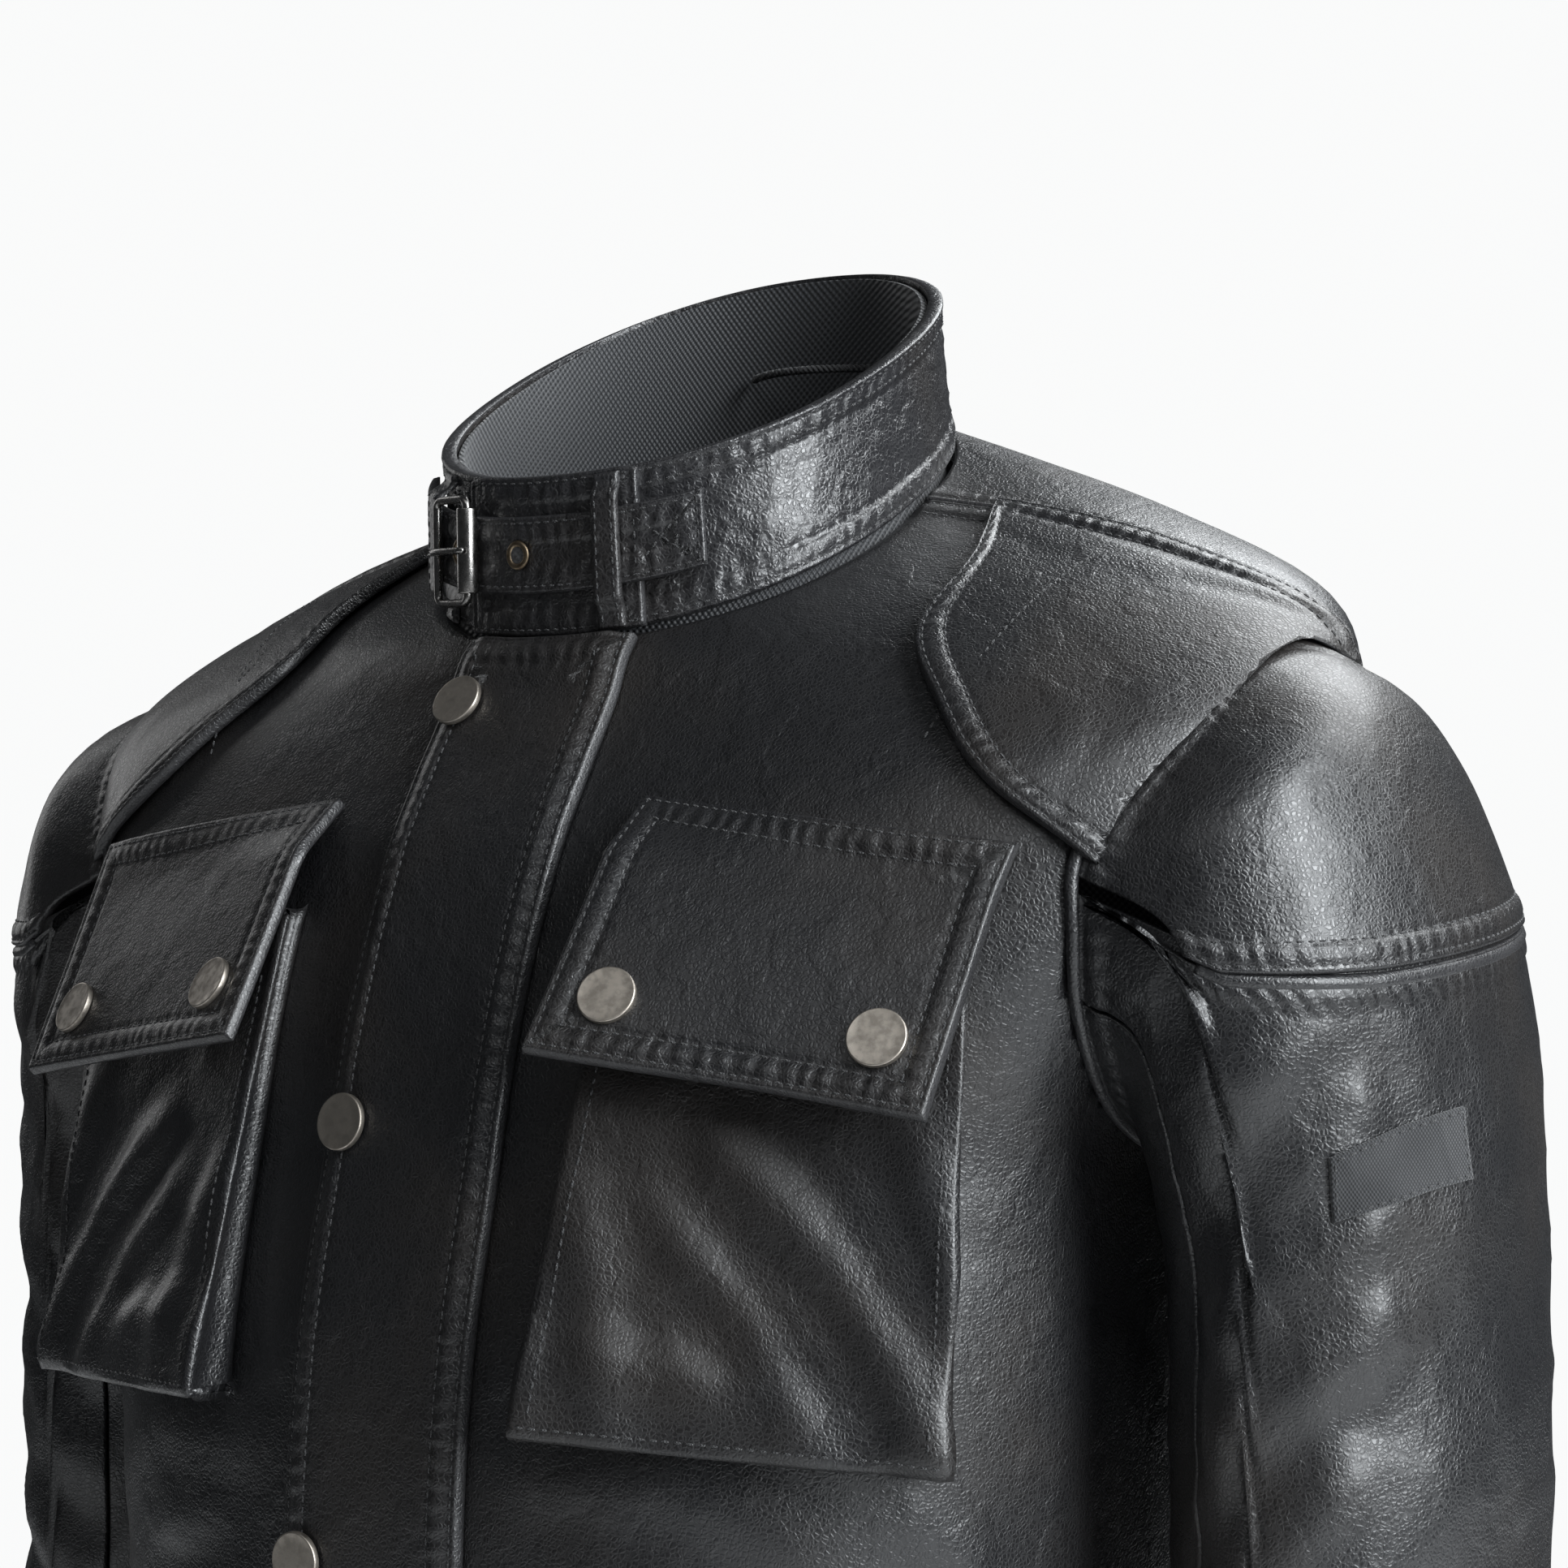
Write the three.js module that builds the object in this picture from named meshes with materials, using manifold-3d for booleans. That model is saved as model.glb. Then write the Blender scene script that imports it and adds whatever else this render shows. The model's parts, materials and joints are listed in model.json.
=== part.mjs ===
// A four-pocket leather riding jacket, closed, in the shape that a wearer's body gives it.
// Millimetres. +Z is up, the front faces -Y, and the wearer's left is +X.
// The origin is at the middle of the hem, on the plane that the hem lies in.
import * as THREE from "three";
import { mergeVertices } from "three/addons/utils/BufferGeometryUtils.js";
import Module from "manifold-3d";

const wasm = await Module();
wasm.setup();

// ---------------------------------------------------------------- driving dimensions
const LENGTH_SCALE = 1; // stretches the body and sleeves downwards from the armpit
const GIRTH_SCALE = 1; // widens the body below the chest
const LEATHER = 2; // turned and interfaced leather shell
const LINING = 1.8; // quilted lining
const LINING_GAP = 2; // shell to lining
const FOLD = 3; // two layers of leather with their turned edges
const REST_GAP = 0.6; // between a sewn-on piece and the leather under it
const SEAM_GAP = 0.4; // between two panels that share a seam

const ARMPIT_Z = 480;
const NECK = { width: 77, front: 72, back: 76, tilt: 0.55, z: 661 };
const COLLAR_HEIGHT = 49;
const COLLAR_LEATHER = 3;
const COLLAR_LINING = 2;

const PLACKET_HALF = 30.5;
const PLACKET_LEATHER = 3;
const PLACKET_LIFT = 2.1; // room for the zip under the middle of the placket
const PLACKET_SNAP_X = -22;
const PLACKET_SNAP_PITCH = 116;
const PLACKET_SNAP_TOP = 600;
const PLACKET_SNAPS = 5;

const SNAP_RADIUS = 8;
const SNAP_HEIGHT = 2;
const CUFF_SNAP_RADIUS = 6.5;

const ZIP_TAPE = 14; // width of one tape
const ZIP_TAPE_THICK = 1;
const ZIP_TEETH = 3.2; // width of one row of teeth
const ZIP_EDGE = 5; // front panel edge to the middle of the zip
const SLIDER = { width: 8.4, length: 13, thick: 2 };
const SLIDER_TOP_Z = 596;
const SLIDER_BOTTOM_Z = 22;

const STRAP_WIDTH = 23;
const STRAP_LEATHER = 2;
const STRAP_LIFT = 3.4; // strap's inner face above the collar
const STRAP_ANGLES = [-62, 38]; // wearer's right to wearer's left
const TAB_ANGLES = [-25, 24];
const TAB_LEATHER = 2.3;
const KEEPER_WIDTH = 8;
const KEEPER_LEATHER = 1.8;
const KEEPER_ANGLES = { left: 17, right: -38 };
const BUCKLE_ANGLE = -26;
const BUCKLE = { height: 33, width: 20, bar: 2.4 };
const ROLLER = { inner: 1.95, outer: 3.1, length: 25 };
const PRONG = { eyeWidth: 4, bar: 2 };
const EYELET = { outer: 4.3, inner: 2.5, thick: 1 };
const EYELET_ANGLES = { front: -6.5, end: -26 };

const POCKET_WALL = 2.5;
// Pockets and flaps of the wearer's left side. A corner is x, z and how far its outer face
// stands in front of the body there. Past the side of the body, the depth is the body's
// at the seat, which is pulled in from the pocket's flared outer edge.
const CHEST_POCKET = {
  topInner: [57, 545, 9],
  topOuter: [158, 534, 3],
  bottomInner: [55, 410, 22],
  bottomOuter: [163, 403, 26],
  seatShare: 0.84,
};
const LOWER_POCKET = {
  topInner: [52, 194, 8],
  topOuter: [140, 194, 24],
  bottomInner: [50, 42, 24],
  bottomOuter: [146, 42, 42],
  seatShare: 0.9,
};
// Each flap: hinge line and lower edge, on the flap's outer face.
const CHEST_FLAP = {
  hingeInner: [55, 561, 15],
  hingeOuter: [162, 549, 2.5],
  lowerInner: [52, 509, 28],
  lowerOuter: [159, 494, 34],
  band: 12,
};
const LOWER_FLAP = {
  hingeInner: [49, 202, 10],
  hingeOuter: [143, 202, 30],
  lowerInner: [47, 152, 22],
  lowerOuter: [147, 152, 46],
};
const FLAP_SNAP_INSET = 18; // snap centre from the flap's end and from its lower edge

const CUFF_START = 12.1; // station of the sleeve where the cuff begins
const CUFF_TAB = { from: 200, to: 292, low: 12.35, high: 12.75 };
const BADGE = { along: 45, tall: 18, thick: 1, station: 4.3, facing: -42 };
const HANGER = { width: 60, drop: 14, cord: 3 };

// ---------------------------------------------------------------- body form
// Horizontal sections of the body from the hem to the neck seam. Each section is a
// superellipse of half width w, depth f to the front and b to the back, of power n,
// whose plane rises by tilt towards the back.
const lower = (z) => ARMPIT_Z - (ARMPIT_Z - z) * LENGTH_SCALE;
const girth = (size) => size * GIRTH_SCALE;
const BODY = [
  { z: lower(0), w: girth(180), f: girth(138), b: girth(112), n: 2.5, tilt: 0 },
  { z: lower(120), w: girth(176), f: girth(142), b: girth(108), n: 2.5, tilt: 0 },
  { z: lower(240), w: girth(161), f: girth(146), b: girth(99), n: 2.6, tilt: 0 },
  { z: lower(350), w: 162, f: 150, b: 103, n: 2.8, tilt: 0 },
  { z: lower(420), w: 164, f: 146, b: 108, n: 3, tilt: 0.01 },
  { z: ARMPIT_Z, w: 167, f: 134, b: 113, n: 3, tilt: 0.03 },
  { z: 520, w: 182, f: 126, b: 116, n: 2.9, tilt: 0.08 },
  { z: 556, w: 198, f: 117, b: 114, n: 2.9, tilt: 0.16 },
  { z: 590, w: 208, f: 107, b: 107, n: 2.7, tilt: 0.27 },
  { z: 617, w: 203, f: 95, b: 98, n: 2.5, tilt: 0.37 },
  { z: 638, w: 162, f: 83, b: 89, n: 2.3, tilt: 0.44 },
  { z: 652, w: 118, f: 78, b: 81, n: 2.2, tilt: 0.5 },
  { z: NECK.z, w: NECK.width, f: NECK.front, b: NECK.back, n: 2.2, tilt: NECK.tilt },
];
const NECK_STATION = BODY.length - 1;
const YOKE_STATION = 6.4; // where the back panel meets the yoke
const SEAM_ANGLE = 95; // side and shoulder seams, from the middle of the front
const DEG = Math.PI / 180;

/** Catmull-Rom value at t between b and c, with their neighbours a and d. */
function spline(a, b, c, d, t) {
  const slopeIn = (c - a) / 2;
  const slopeOut = (d - b) / 2;
  const cubic = 2 * (b - c) + slopeIn + slopeOut;
  const square = 3 * (c - b) - 2 * slopeIn - slopeOut;
  return ((cubic * t + square) * t + slopeIn) * t + b;
}

/** Value of read(k) at a fractional station s, straight beyond the two ends. */
function along(count, read, s) {
  const k = Math.min(count - 2, Math.max(0, Math.floor(s)));
  const before = k > 0 ? read(k - 1) : 2 * read(0) - read(1);
  const after = k < count - 2 ? read(k + 2) : 2 * read(count - 1) - read(count - 2);
  return spline(before, read(k), read(k + 1), after, s - k);
}

/** The body's section at station s. */
function section(s) {
  const at = (field) => along(BODY.length, (k) => BODY[k][field], s);
  return { z: at("z"), w: at("w"), f: at("f"), b: at("b"), n: at("n"), tilt: at("tilt") };
}

/** Point of the body's surface at station s, at an angle in degrees from the front. */
function bodyPoint(s, degrees) {
  const ring = section(s);
  const sin = Math.sin(degrees * DEG);
  const cos = Math.cos(degrees * DEG);
  const depth = cos > 0 ? ring.f : ring.b;
  const sum = Math.abs(sin / ring.w) ** ring.n + Math.abs(cos / depth) ** ring.n;
  const r = sum ** (-1 / ring.n);
  return new THREE.Vector3(r * sin, -r * cos, ring.z - ring.tilt * r * cos);
}

/** Value below 0 inside the body form, above 0 outside it. */
function bodyField(x, y, z) {
  let low = -1;
  let high = NECK_STATION + 1;
  for (let i = 0; i < 34; i++) {
    const middle = (low + high) / 2;
    const ring = section(middle);
    if (ring.z + ring.tilt * y < z) low = middle;
    else high = middle;
  }
  const ring = section(low);
  const depth = y < 0 ? ring.f : ring.b;
  return Math.abs(x / ring.w) ** ring.n + Math.abs(y / depth) ** ring.n - 1;
}

/** Point where a ray from outside the body first meets it. */
function meetBody(from, direction, reach) {
  let near = 0;
  let far = reach;
  for (let i = 0; i < 34; i++) {
    const middle = (near + far) / 2;
    const p = from.clone().addScaledVector(direction, middle);
    if (bodyField(p.x, p.y, p.z) > 0) near = middle;
    else far = middle;
  }
  return from.clone().addScaledVector(direction, near);
}

/** Point on the front of the body at x, z, moved outwards along the surface normal. */
function frontPoint(x, z, offset = 0) {
  const back = new THREE.Vector3(0, 1, 0);
  const reach = 240;
  const hit = (dx, dz) => meetBody(new THREE.Vector3(x + dx, -reach, z + dz), back, reach);
  const p = hit(0, 0);
  const acrossX = hit(1, 0).sub(hit(-1, 0));
  const alongZ = hit(0, 1).sub(hit(0, -1));
  return p.addScaledVector(acrossX.cross(alongZ).normalize(), offset);
}

/** Turns a surface of two parameters into one that also takes an outward offset. */
function offsetting(surface, centreOf) {
  const step = 0.01;
  return (s, t, offset) => {
    const p = surface(s, t);
    const ds = surface(s + step, t).sub(surface(s - step, t));
    const dt = surface(s, t + step * 20).sub(surface(s, t - step * 20));
    const normal = ds.cross(dt).normalize();
    if (normal.dot(p.clone().sub(centreOf(s))) < 0) normal.negate();
    return p.addScaledVector(normal, offset);
  };
}

const bodySurface = offsetting(bodyPoint, (s) => new THREE.Vector3(0, 0, section(s).z - 40));

// ---------------------------------------------------------------- sleeve form
// The armhole is where an oval tube leaves the body. Its axis points out and down.
const ARMHOLE = {
  centre: new THREE.Vector3(186, -3, 548),
  out: new THREE.Vector3(0.957, 0, -0.29),
  up: new THREE.Vector3(0.29, 0, 0.957),
  tall: 72,
  wide: 76,
  upperPower: 1.5, // the seam runs almost straight from the shoulder to the chest
  lowerPower: 2,
};

/** Place on the armhole's oval, as shares of its half width and half height. */
function armholeOval(degrees) {
  const sin = Math.sin(degrees * DEG);
  const cos = Math.cos(degrees * DEG);
  const power = cos > 0 ? ARMHOLE.upperPower : ARMHOLE.lowerPower;
  const r = (Math.abs(sin) ** power + Math.abs(cos) ** power) ** (-1 / power);
  return [r * sin, r * cos];
}
// Sections of the left sleeve from the armhole to the cuff. Each is an ellipse whose long
// way lies along Y, with its inner and outer ends given as x, z.
const SLEEVE = [
  null, // the armhole itself
  { inner: [169.5, 476], outer: [229, 603], y: -2, wide: 77 },
  { inner: [170, 469], outer: [246, 574], y: 0, wide: 77 },
  { inner: [170, 460], outer: [255, 540], y: 3, wide: 76 },
  { inner: [170, 446], outer: [260, 500], y: 6, wide: 74 },
  { inner: [170, 424], outer: [262, 455], y: 8, wide: 73 },
  { inner: [169.5, 390], outer: [263, 405], y: 8, wide: 72 },
  { inner: [169.5, 340], outer: [263, 345], y: 8, wide: 70 },
  { inner: [172, 288], outer: [265, 290], y: 6, wide: 67 },
  { inner: [178, 233], outer: [268, 232], y: 3, wide: 63 },
  { inner: [187, 170], outer: [272, 167], y: -2, wide: 57 },
  { inner: [196, 110], outer: [275, 107], y: -8, wide: 51 },
  { inner: [202, 60], outer: [275, 57], y: -13, wide: 46 },
  { inner: [205, 20], outer: [274, 18], y: -16, wide: 43 },
];
const SLEEVE_END = SLEEVE.length - 1;

const armholeCache = new Map();

/** Point of the armhole seam at an angle from its top towards the back. */
function armholePoint(degrees) {
  const key = degrees.toFixed(3);
  if (!armholeCache.has(key)) {
    const start = ARMHOLE.centre.clone();
    const [side, rise] = armholeOval(degrees);
    start.addScaledVector(ARMHOLE.up, ARMHOLE.tall * rise);
    start.y += ARMHOLE.wide * side;
    const outside = 70;
    start.addScaledVector(ARMHOLE.out, outside);
    const inwards = ARMHOLE.out.clone().negate();
    armholeCache.set(key, meetBody(start, inwards, outside * 2));
  }
  const clear = 1.6;
  return armholeCache.get(key).clone().addScaledVector(ARMHOLE.out, clear);
}

/** Point of sleeve section k. */
function sleeveRing(k, degrees) {
  if (k === 0) return armholePoint(degrees);
  const ring = SLEEVE[k];
  const cos = Math.cos(degrees * DEG);
  const x = (ring.outer[0] + ring.inner[0]) / 2 + (cos * (ring.outer[0] - ring.inner[0])) / 2;
  const z = (ring.outer[1] + ring.inner[1]) / 2 + (cos * (ring.outer[1] - ring.inner[1])) / 2;
  const hung = z < ARMPIT_Z ? lower(z) : z;
  return new THREE.Vector3(x, ring.y + ring.wide * Math.sin(degrees * DEG), hung);
}

/** Point of the left sleeve's surface at station s. */
function sleevePoint(s, degrees) {
  const at = (axis) => along(SLEEVE.length, (k) => sleeveRing(k, degrees)[axis], s);
  return new THREE.Vector3(at("x"), at("y"), at("z"));
}

/** Middle of the left sleeve at station s. */
function sleeveMiddle(s) {
  return sleevePoint(s, 0).add(sleevePoint(s, 180)).multiplyScalar(0.5);
}

const sleeveSurface = offsetting(sleevePoint, sleeveMiddle);

// ---------------------------------------------------------------- collar form
/** Point of the collar at height v from 0 to 1, at an angle from the front. */
function collarPoint(v, degrees) {
  const sin = Math.sin(degrees * DEG);
  const cos = Math.cos(degrees * DEG);
  const lean = 5 * v;
  const taper = 1 - 0.035 * v;
  const depth = cos > 0 ? NECK.front : NECK.back;
  const sum = Math.abs(sin / NECK.width) ** 2.2 + Math.abs(cos / depth) ** 2.2;
  const r = taper * sum ** (-1 / 2.2);
  const y = -r * cos - lean;
  return new THREE.Vector3(r * sin, y, NECK.z + NECK.tilt * y + COLLAR_HEIGHT * v);
}

const collarSurface = offsetting(collarPoint, (v) => {
  return new THREE.Vector3(0, 0, NECK.z + COLLAR_HEIGHT * v);
});

// ---------------------------------------------------------------- solids
/** Closed solid between two sheets of points, as rows of columns. */
function solidBetween(innerSheet, outerSheet, rows, columns, loop = false) {
  const positions = [];
  const index = [];
  const width = loop ? columns : columns + 1;
  for (const sheet of [innerSheet, outerSheet]) {
    for (let i = 0; i <= rows; i++) {
      for (let j = 0; j < width; j++) positions.push(...sheet(i / rows, j / columns).toArray());
    }
  }
  const top = (rows + 1) * width;
  const at = (i, j) => i * width + (loop ? j % columns : j);
  const quad = (a, b, c, d) => index.push(a, b, c, a, c, d);
  for (let i = 0; i < rows; i++) {
    for (let j = 0; j < columns; j++) {
      quad(at(i, j), at(i, j + 1), at(i + 1, j + 1), at(i + 1, j));
      quad(top + at(i, j), top + at(i + 1, j), top + at(i + 1, j + 1), top + at(i, j + 1));
    }
  }
  for (let j = 0; j < columns; j++) {
    quad(at(0, j), top + at(0, j), top + at(0, j + 1), at(0, j + 1));
    quad(at(rows, j), at(rows, j + 1), top + at(rows, j + 1), top + at(rows, j));
  }
  for (let i = 0; i < rows && !loop; i++) {
    quad(at(i, 0), at(i + 1, 0), top + at(i + 1, 0), top + at(i, 0));
    quad(at(i, columns), top + at(i, columns), top + at(i + 1, columns), at(i + 1, columns));
  }
  const geometry = new THREE.BufferGeometry();
  geometry.setAttribute("position", new THREE.Float32BufferAttribute(positions, 3));
  geometry.setIndex(index);
  return facingOut(geometry);
}

/** Six times the volume that a closed indexed geometry encloses. */
function signedVolume(geometry) {
  const p = geometry.getAttribute("position");
  const index = geometry.getIndex().array;
  const corner = (k) => new THREE.Vector3().fromBufferAttribute(p, index[k]);
  let sum = 0;
  for (let k = 0; k < index.length; k += 3) {
    sum += corner(k).dot(corner(k + 1).cross(corner(k + 2)));
  }
  return sum;
}

/** Turns a closed geometry so that its faces point outwards. */
function facingOut(geometry) {
  if (signedVolume(geometry) > 0) return geometry;
  const index = geometry.getIndex();
  for (let k = 0; k < index.count; k += 3) {
    const second = index.getX(k + 1);
    index.setX(k + 1, index.getX(k + 2));
    index.setX(k + 2, second);
  }
  return geometry;
}

/** A geometry as a solid of the boolean library. */
function toSolid(geometry) {
  const bare = geometry.clone();
  bare.deleteAttribute("normal");
  bare.deleteAttribute("uv");
  const merged = facingOut(mergeVertices(bare, 1e-4));
  const vertProperties = new Float32Array(merged.getAttribute("position").array);
  const triVerts = new Uint32Array(merged.getIndex().array);
  return new wasm.Manifold(new wasm.Mesh({ numProp: 3, vertProperties, triVerts }));
}

/** A solid of the boolean library as a geometry, keeping only its largest body. */
function toGeometry(solid) {
  const bodies = solid.decompose().sort((a, b) => b.volume() - a.volume());
  const mesh = bodies[0].getMesh();
  const geometry = new THREE.BufferGeometry();
  geometry.setAttribute("position", new THREE.Float32BufferAttribute(mesh.vertProperties, 3));
  geometry.setIndex(new THREE.BufferAttribute(mesh.triVerts, 1));
  return geometry;
}

/** A geometry with others cut out of it. */
function cut(geometry, ...tools) {
  let solid = toSolid(geometry);
  for (const tool of tools) solid = solid.subtract(toSolid(tool));
  return toGeometry(solid);
}

/** Several overlapping geometries joined into one. */
function join(geometry, ...others) {
  let solid = toSolid(geometry);
  for (const other of others) solid = solid.add(toSolid(other));
  return toGeometry(solid);
}

/** The same piece for the wearer's right side. */
function mirrored(geometry) {
  return facingOut(mergeVertices(geometry.clone().scale(-1, 1, 1), 1e-4));
}

// ---------------------------------------------------------------- group and materials
const jacket = new THREE.Group();

const FINISH = {
  leather: { color: 0x1c1c1d, roughness: 0.42, metalness: 0 },
  collarLeather: { color: 0x202022, roughness: 0.32, metalness: 0 },
  lining: { color: 0x17181a, roughness: 0.9, metalness: 0 },
  nickel: { color: 0x938a80, roughness: 0.45, metalness: 1 },
  gunmetal: { color: 0x55524e, roughness: 0.3, metalness: 1 },
  brass: { color: 0x7a6344, roughness: 0.4, metalness: 1 },
  tape: { color: 0x101011, roughness: 0.9, metalness: 0 },
  badge: { color: 0x242527, roughness: 0.95, metalness: 0 },
};

/** Adds one named piece. */
function addPiece(name, geometry, finish) {
  const bare = geometry.clone();
  bare.deleteAttribute("normal");
  bare.deleteAttribute("uv");
  const mesh = new THREE.Mesh(bare, new THREE.MeshStandardMaterial(FINISH[finish]));
  mesh.name = name;
  jacket.add(mesh);
  return mesh;
}

/** Adds a piece of the wearer's left side and its mirror image. */
function addPair(name, geometry, finish) {
  addPiece("left_" + name, geometry, finish);
  addPiece("right_" + name, mirrored(geometry), finish);
}

// ---------------------------------------------------------------- body panels
/** Tube that clears the left armhole, from inside the body outwards. */
function armholeTool(grow = 0) {
  const sides = 32;
  const inside = -70;
  const outside = 90;
  const oval = new THREE.Shape();
  for (let k = 0; k < sides; k++) {
    const [side, rise] = armholeOval((k * 360) / sides);
    const y = (ARMHOLE.wide + grow) * side;
    const z = (ARMHOLE.tall + grow) * rise;
    if (k === 0) oval.moveTo(y, z);
    else oval.lineTo(y, z);
  }
  const tube = new THREE.ExtrudeGeometry(oval, { depth: outside - inside, bevelEnabled: false });
  tube.translate(0, 0, inside);
  const turn = new THREE.Matrix4();
  turn.makeBasis(new THREE.Vector3(0, 1, 0), ARMHOLE.up, ARMHOLE.out);
  tube.applyMatrix4(turn);
  const at = ARMHOLE.centre;
  return tube.translate(at.x, at.y, at.z);
}

const leftArmhole = armholeTool();
const rightArmhole = mirrored(mergeVertices(leftArmhole.clone().deleteAttribute("normal"), 1e-4));

/** Angle at which the body's surface is at x on the front, at station s. */
function angleAtX(s, x) {
  return Math.atan2(x, section(s).f) / DEG;
}

/** Point of the shell, level with the hem plane along the hem itself. */
function shellPoint(s, degrees, offset) {
  const p = bodySurface(s, degrees, offset);
  return s > 0 ? p : p.setZ(BODY[0].z);
}

/** Slab of the body between two stations, two angle functions and two offsets. */
function bodySlab(stations, from, to, offsets, rows, columns) {
  const sheet = (offset) => (i, j) => {
    const s = stations[0] + (stations[1] - stations[0]) * i;
    return shellPoint(s, from(s) + (to(s) - from(s)) * j, offset);
  };
  return solidBetween(sheet(offsets[0]), sheet(offsets[1]), rows, columns);
}

const seamShare = 0.12; // degrees that each panel stops short of a seam
const BODY_ROWS = 15;
const YOKE_ROWS = 7;
const FRONT_COLUMNS = 9;
const BACK_COLUMNS = 16;

const frontPanel = bodySlab(
  [0, NECK_STATION],
  (s) => angleAtX(s, ZIP_EDGE),
  () => SEAM_ANGLE - seamShare,
  [-LEATHER, 0],
  BODY_ROWS,
  FRONT_COLUMNS,
);
addPair("front_panel", cut(frontPanel, leftArmhole), "leather");

/** Slab of the back between two stations. */
function backSlab(low, high, rows) {
  const from = () => SEAM_ANGLE + seamShare;
  const to = () => 360 - SEAM_ANGLE - seamShare;
  const slab = bodySlab([low, high], from, to, [-LEATHER, 0], rows, BACK_COLUMNS);
  return cut(slab, leftArmhole, rightArmhole);
}

addPiece("back_panel", backSlab(0, YOKE_STATION, BODY_ROWS - YOKE_ROWS), "leather");
addPiece("back_yoke", backSlab(YOKE_STATION + 0.01, NECK_STATION, YOKE_ROWS), "leather");

const liningOffsets = [-LEATHER - LINING_GAP - LINING, -LEATHER - LINING_GAP];
const liningEdge = ZIP_TAPE + 2;

/** Lining that follows the panels from one zip tape round the back to the other. */
function bodyLining() {
  const columns = 2 * FRONT_COLUMNS + BACK_COLUMNS;
  const angle = (s, j) => {
    const k = j * columns;
    const edge = angleAtX(s, liningEdge);
    const back = THREE.MathUtils.clamp((k - FRONT_COLUMNS) / BACK_COLUMNS, 0, 1);
    const side = SEAM_ANGLE + (360 - 2 * SEAM_ANGLE) * back;
    if (k < FRONT_COLUMNS) return edge + ((SEAM_ANGLE - edge) * k) / FRONT_COLUMNS;
    if (k <= FRONT_COLUMNS + BACK_COLUMNS) return side;
    return 360 - edge - ((SEAM_ANGLE - edge) * (columns - k)) / FRONT_COLUMNS;
  };
  const sheet = (offset) => (i, j) => {
    const s = NECK_STATION * i;
    return shellPoint(s, angle(s, j), offset);
  };
  return solidBetween(sheet(liningOffsets[0]), sheet(liningOffsets[1]), BODY_ROWS, columns);
}

const lining = bodyLining();
addPiece("body_lining", cut(lining, leftArmhole, rightArmhole), "lining");

// ---------------------------------------------------------------- shoulder patches
// Inner edge of the shoulder patch: station, and angle from the front.
const PATCH_EDGE = [
  [7.3, 68],
  [8.4, 61.7],
  [9.4, 61],
  [10.5, 65],
  [11.1, 80],
  [11.4, 94],
];

/** Front shoulder patch: sewn over the panel, between the armhole and a curved edge. */
function shoulderPatch() {
  const rows = 8;
  const columns = 5;
  const knots = PATCH_EDGE.length;
  const clear = 1.5;
  const sheet = (offset) => (i, j) => {
    const k = i * (knots - 1);
    const s = along(knots, (m) => PATCH_EDGE[m][0], k);
    const from = Math.min(along(knots, (m) => PATCH_EDGE[m][1], k), SEAM_ANGLE - 1);
    return bodySurface(s, from + (SEAM_ANGLE - 0.5 - from) * j, offset);
  };
  const slab = solidBetween(sheet(clear), sheet(clear + LEATHER), rows, columns);
  return cut(slab, armholeTool(1.5));
}

addPair("shoulder_patch", shoulderPatch(), "leather");

// ---------------------------------------------------------------- sleeves
/** Slab of the left sleeve. */
function sleeveSlab(stations, angles, offsets, rows, columns) {
  const loop = angles[1] - angles[0] === 360;
  const sheet = (offset) => (i, j) => {
    const s = stations[0] + (stations[1] - stations[0]) * i;
    return sleeveSurface(s, angles[0] + (angles[1] - angles[0]) * j, offset);
  };
  return solidBetween(sheet(offsets[0]), sheet(offsets[1]), rows, columns, loop);
}

/** Tool above the curved seam at the foot of the sleeve cap, or below it. */
function capTool(above, gap) {
  const line = [
    [150, 566],
    [175, 556],
    [195, 543],
    [215, 533],
    [245, 530],
    [300, 530],
  ];
  const far = above ? 700 : 380;
  const shape = new THREE.Shape();
  shape.moveTo(line[0][0], far);
  for (const [x, z] of line) shape.lineTo(x, z + gap);
  shape.lineTo(line[line.length - 1][0], far);
  shape.closePath();
  const depth = 240;
  const tool = new THREE.ExtrudeGeometry(shape, { depth, bevelEnabled: false });
  tool.translate(0, 0, -depth / 2);
  tool.rotateX(90 * DEG);
  // The seam rises towards the back.
  const rise = 0.12;
  const p = tool.getAttribute("position");
  for (let k = 0; k < p.count; k++) p.setZ(k, p.getZ(k) + rise * (p.getY(k) + 45));
  return tool;
}

const UNDER_FROM = 118; // the under sleeve runs from here to the seam at the front
const UNDER_TO = 246;
const capShell = sleeveSlab([0, 5], [0, 360], [-LEATHER, 0], 8, 20);
addPair("sleeve_cap", cut(capShell, capTool(false, SEAM_GAP / 2)), "leather");

const topSleeve = sleeveSlab([0, CUFF_START], [UNDER_TO - 360, UNDER_FROM], [-LEATHER, 0], 14, 12);
addPair("top_sleeve", cut(topSleeve, capTool(true, -SEAM_GAP / 2)), "leather");

const underAngles = [UNDER_FROM + 0.5, UNDER_TO - 0.5];
const underSleeve = sleeveSlab([0, CUFF_START], underAngles, [-LEATHER, 0], 14, 6);
addPair("under_sleeve", cut(underSleeve, capTool(true, -SEAM_GAP / 2)), "leather");

const cuff = sleeveSlab([CUFF_START + 0.01, SLEEVE_END], [0, 360], [-FOLD, 0.5], 1, 20);
addPair("cuff", cuff, "leather");

const tabOffsets = [0.5 + REST_GAP, 0.5 + REST_GAP + FOLD];
const tabAngles = [CUFF_TAB.from, CUFF_TAB.to];
const cuffTab = sleeveSlab([CUFF_TAB.low, CUFF_TAB.high], tabAngles, tabOffsets, 1, 6);
addPair("cuff_tab", cuffTab, "leather");

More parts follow.
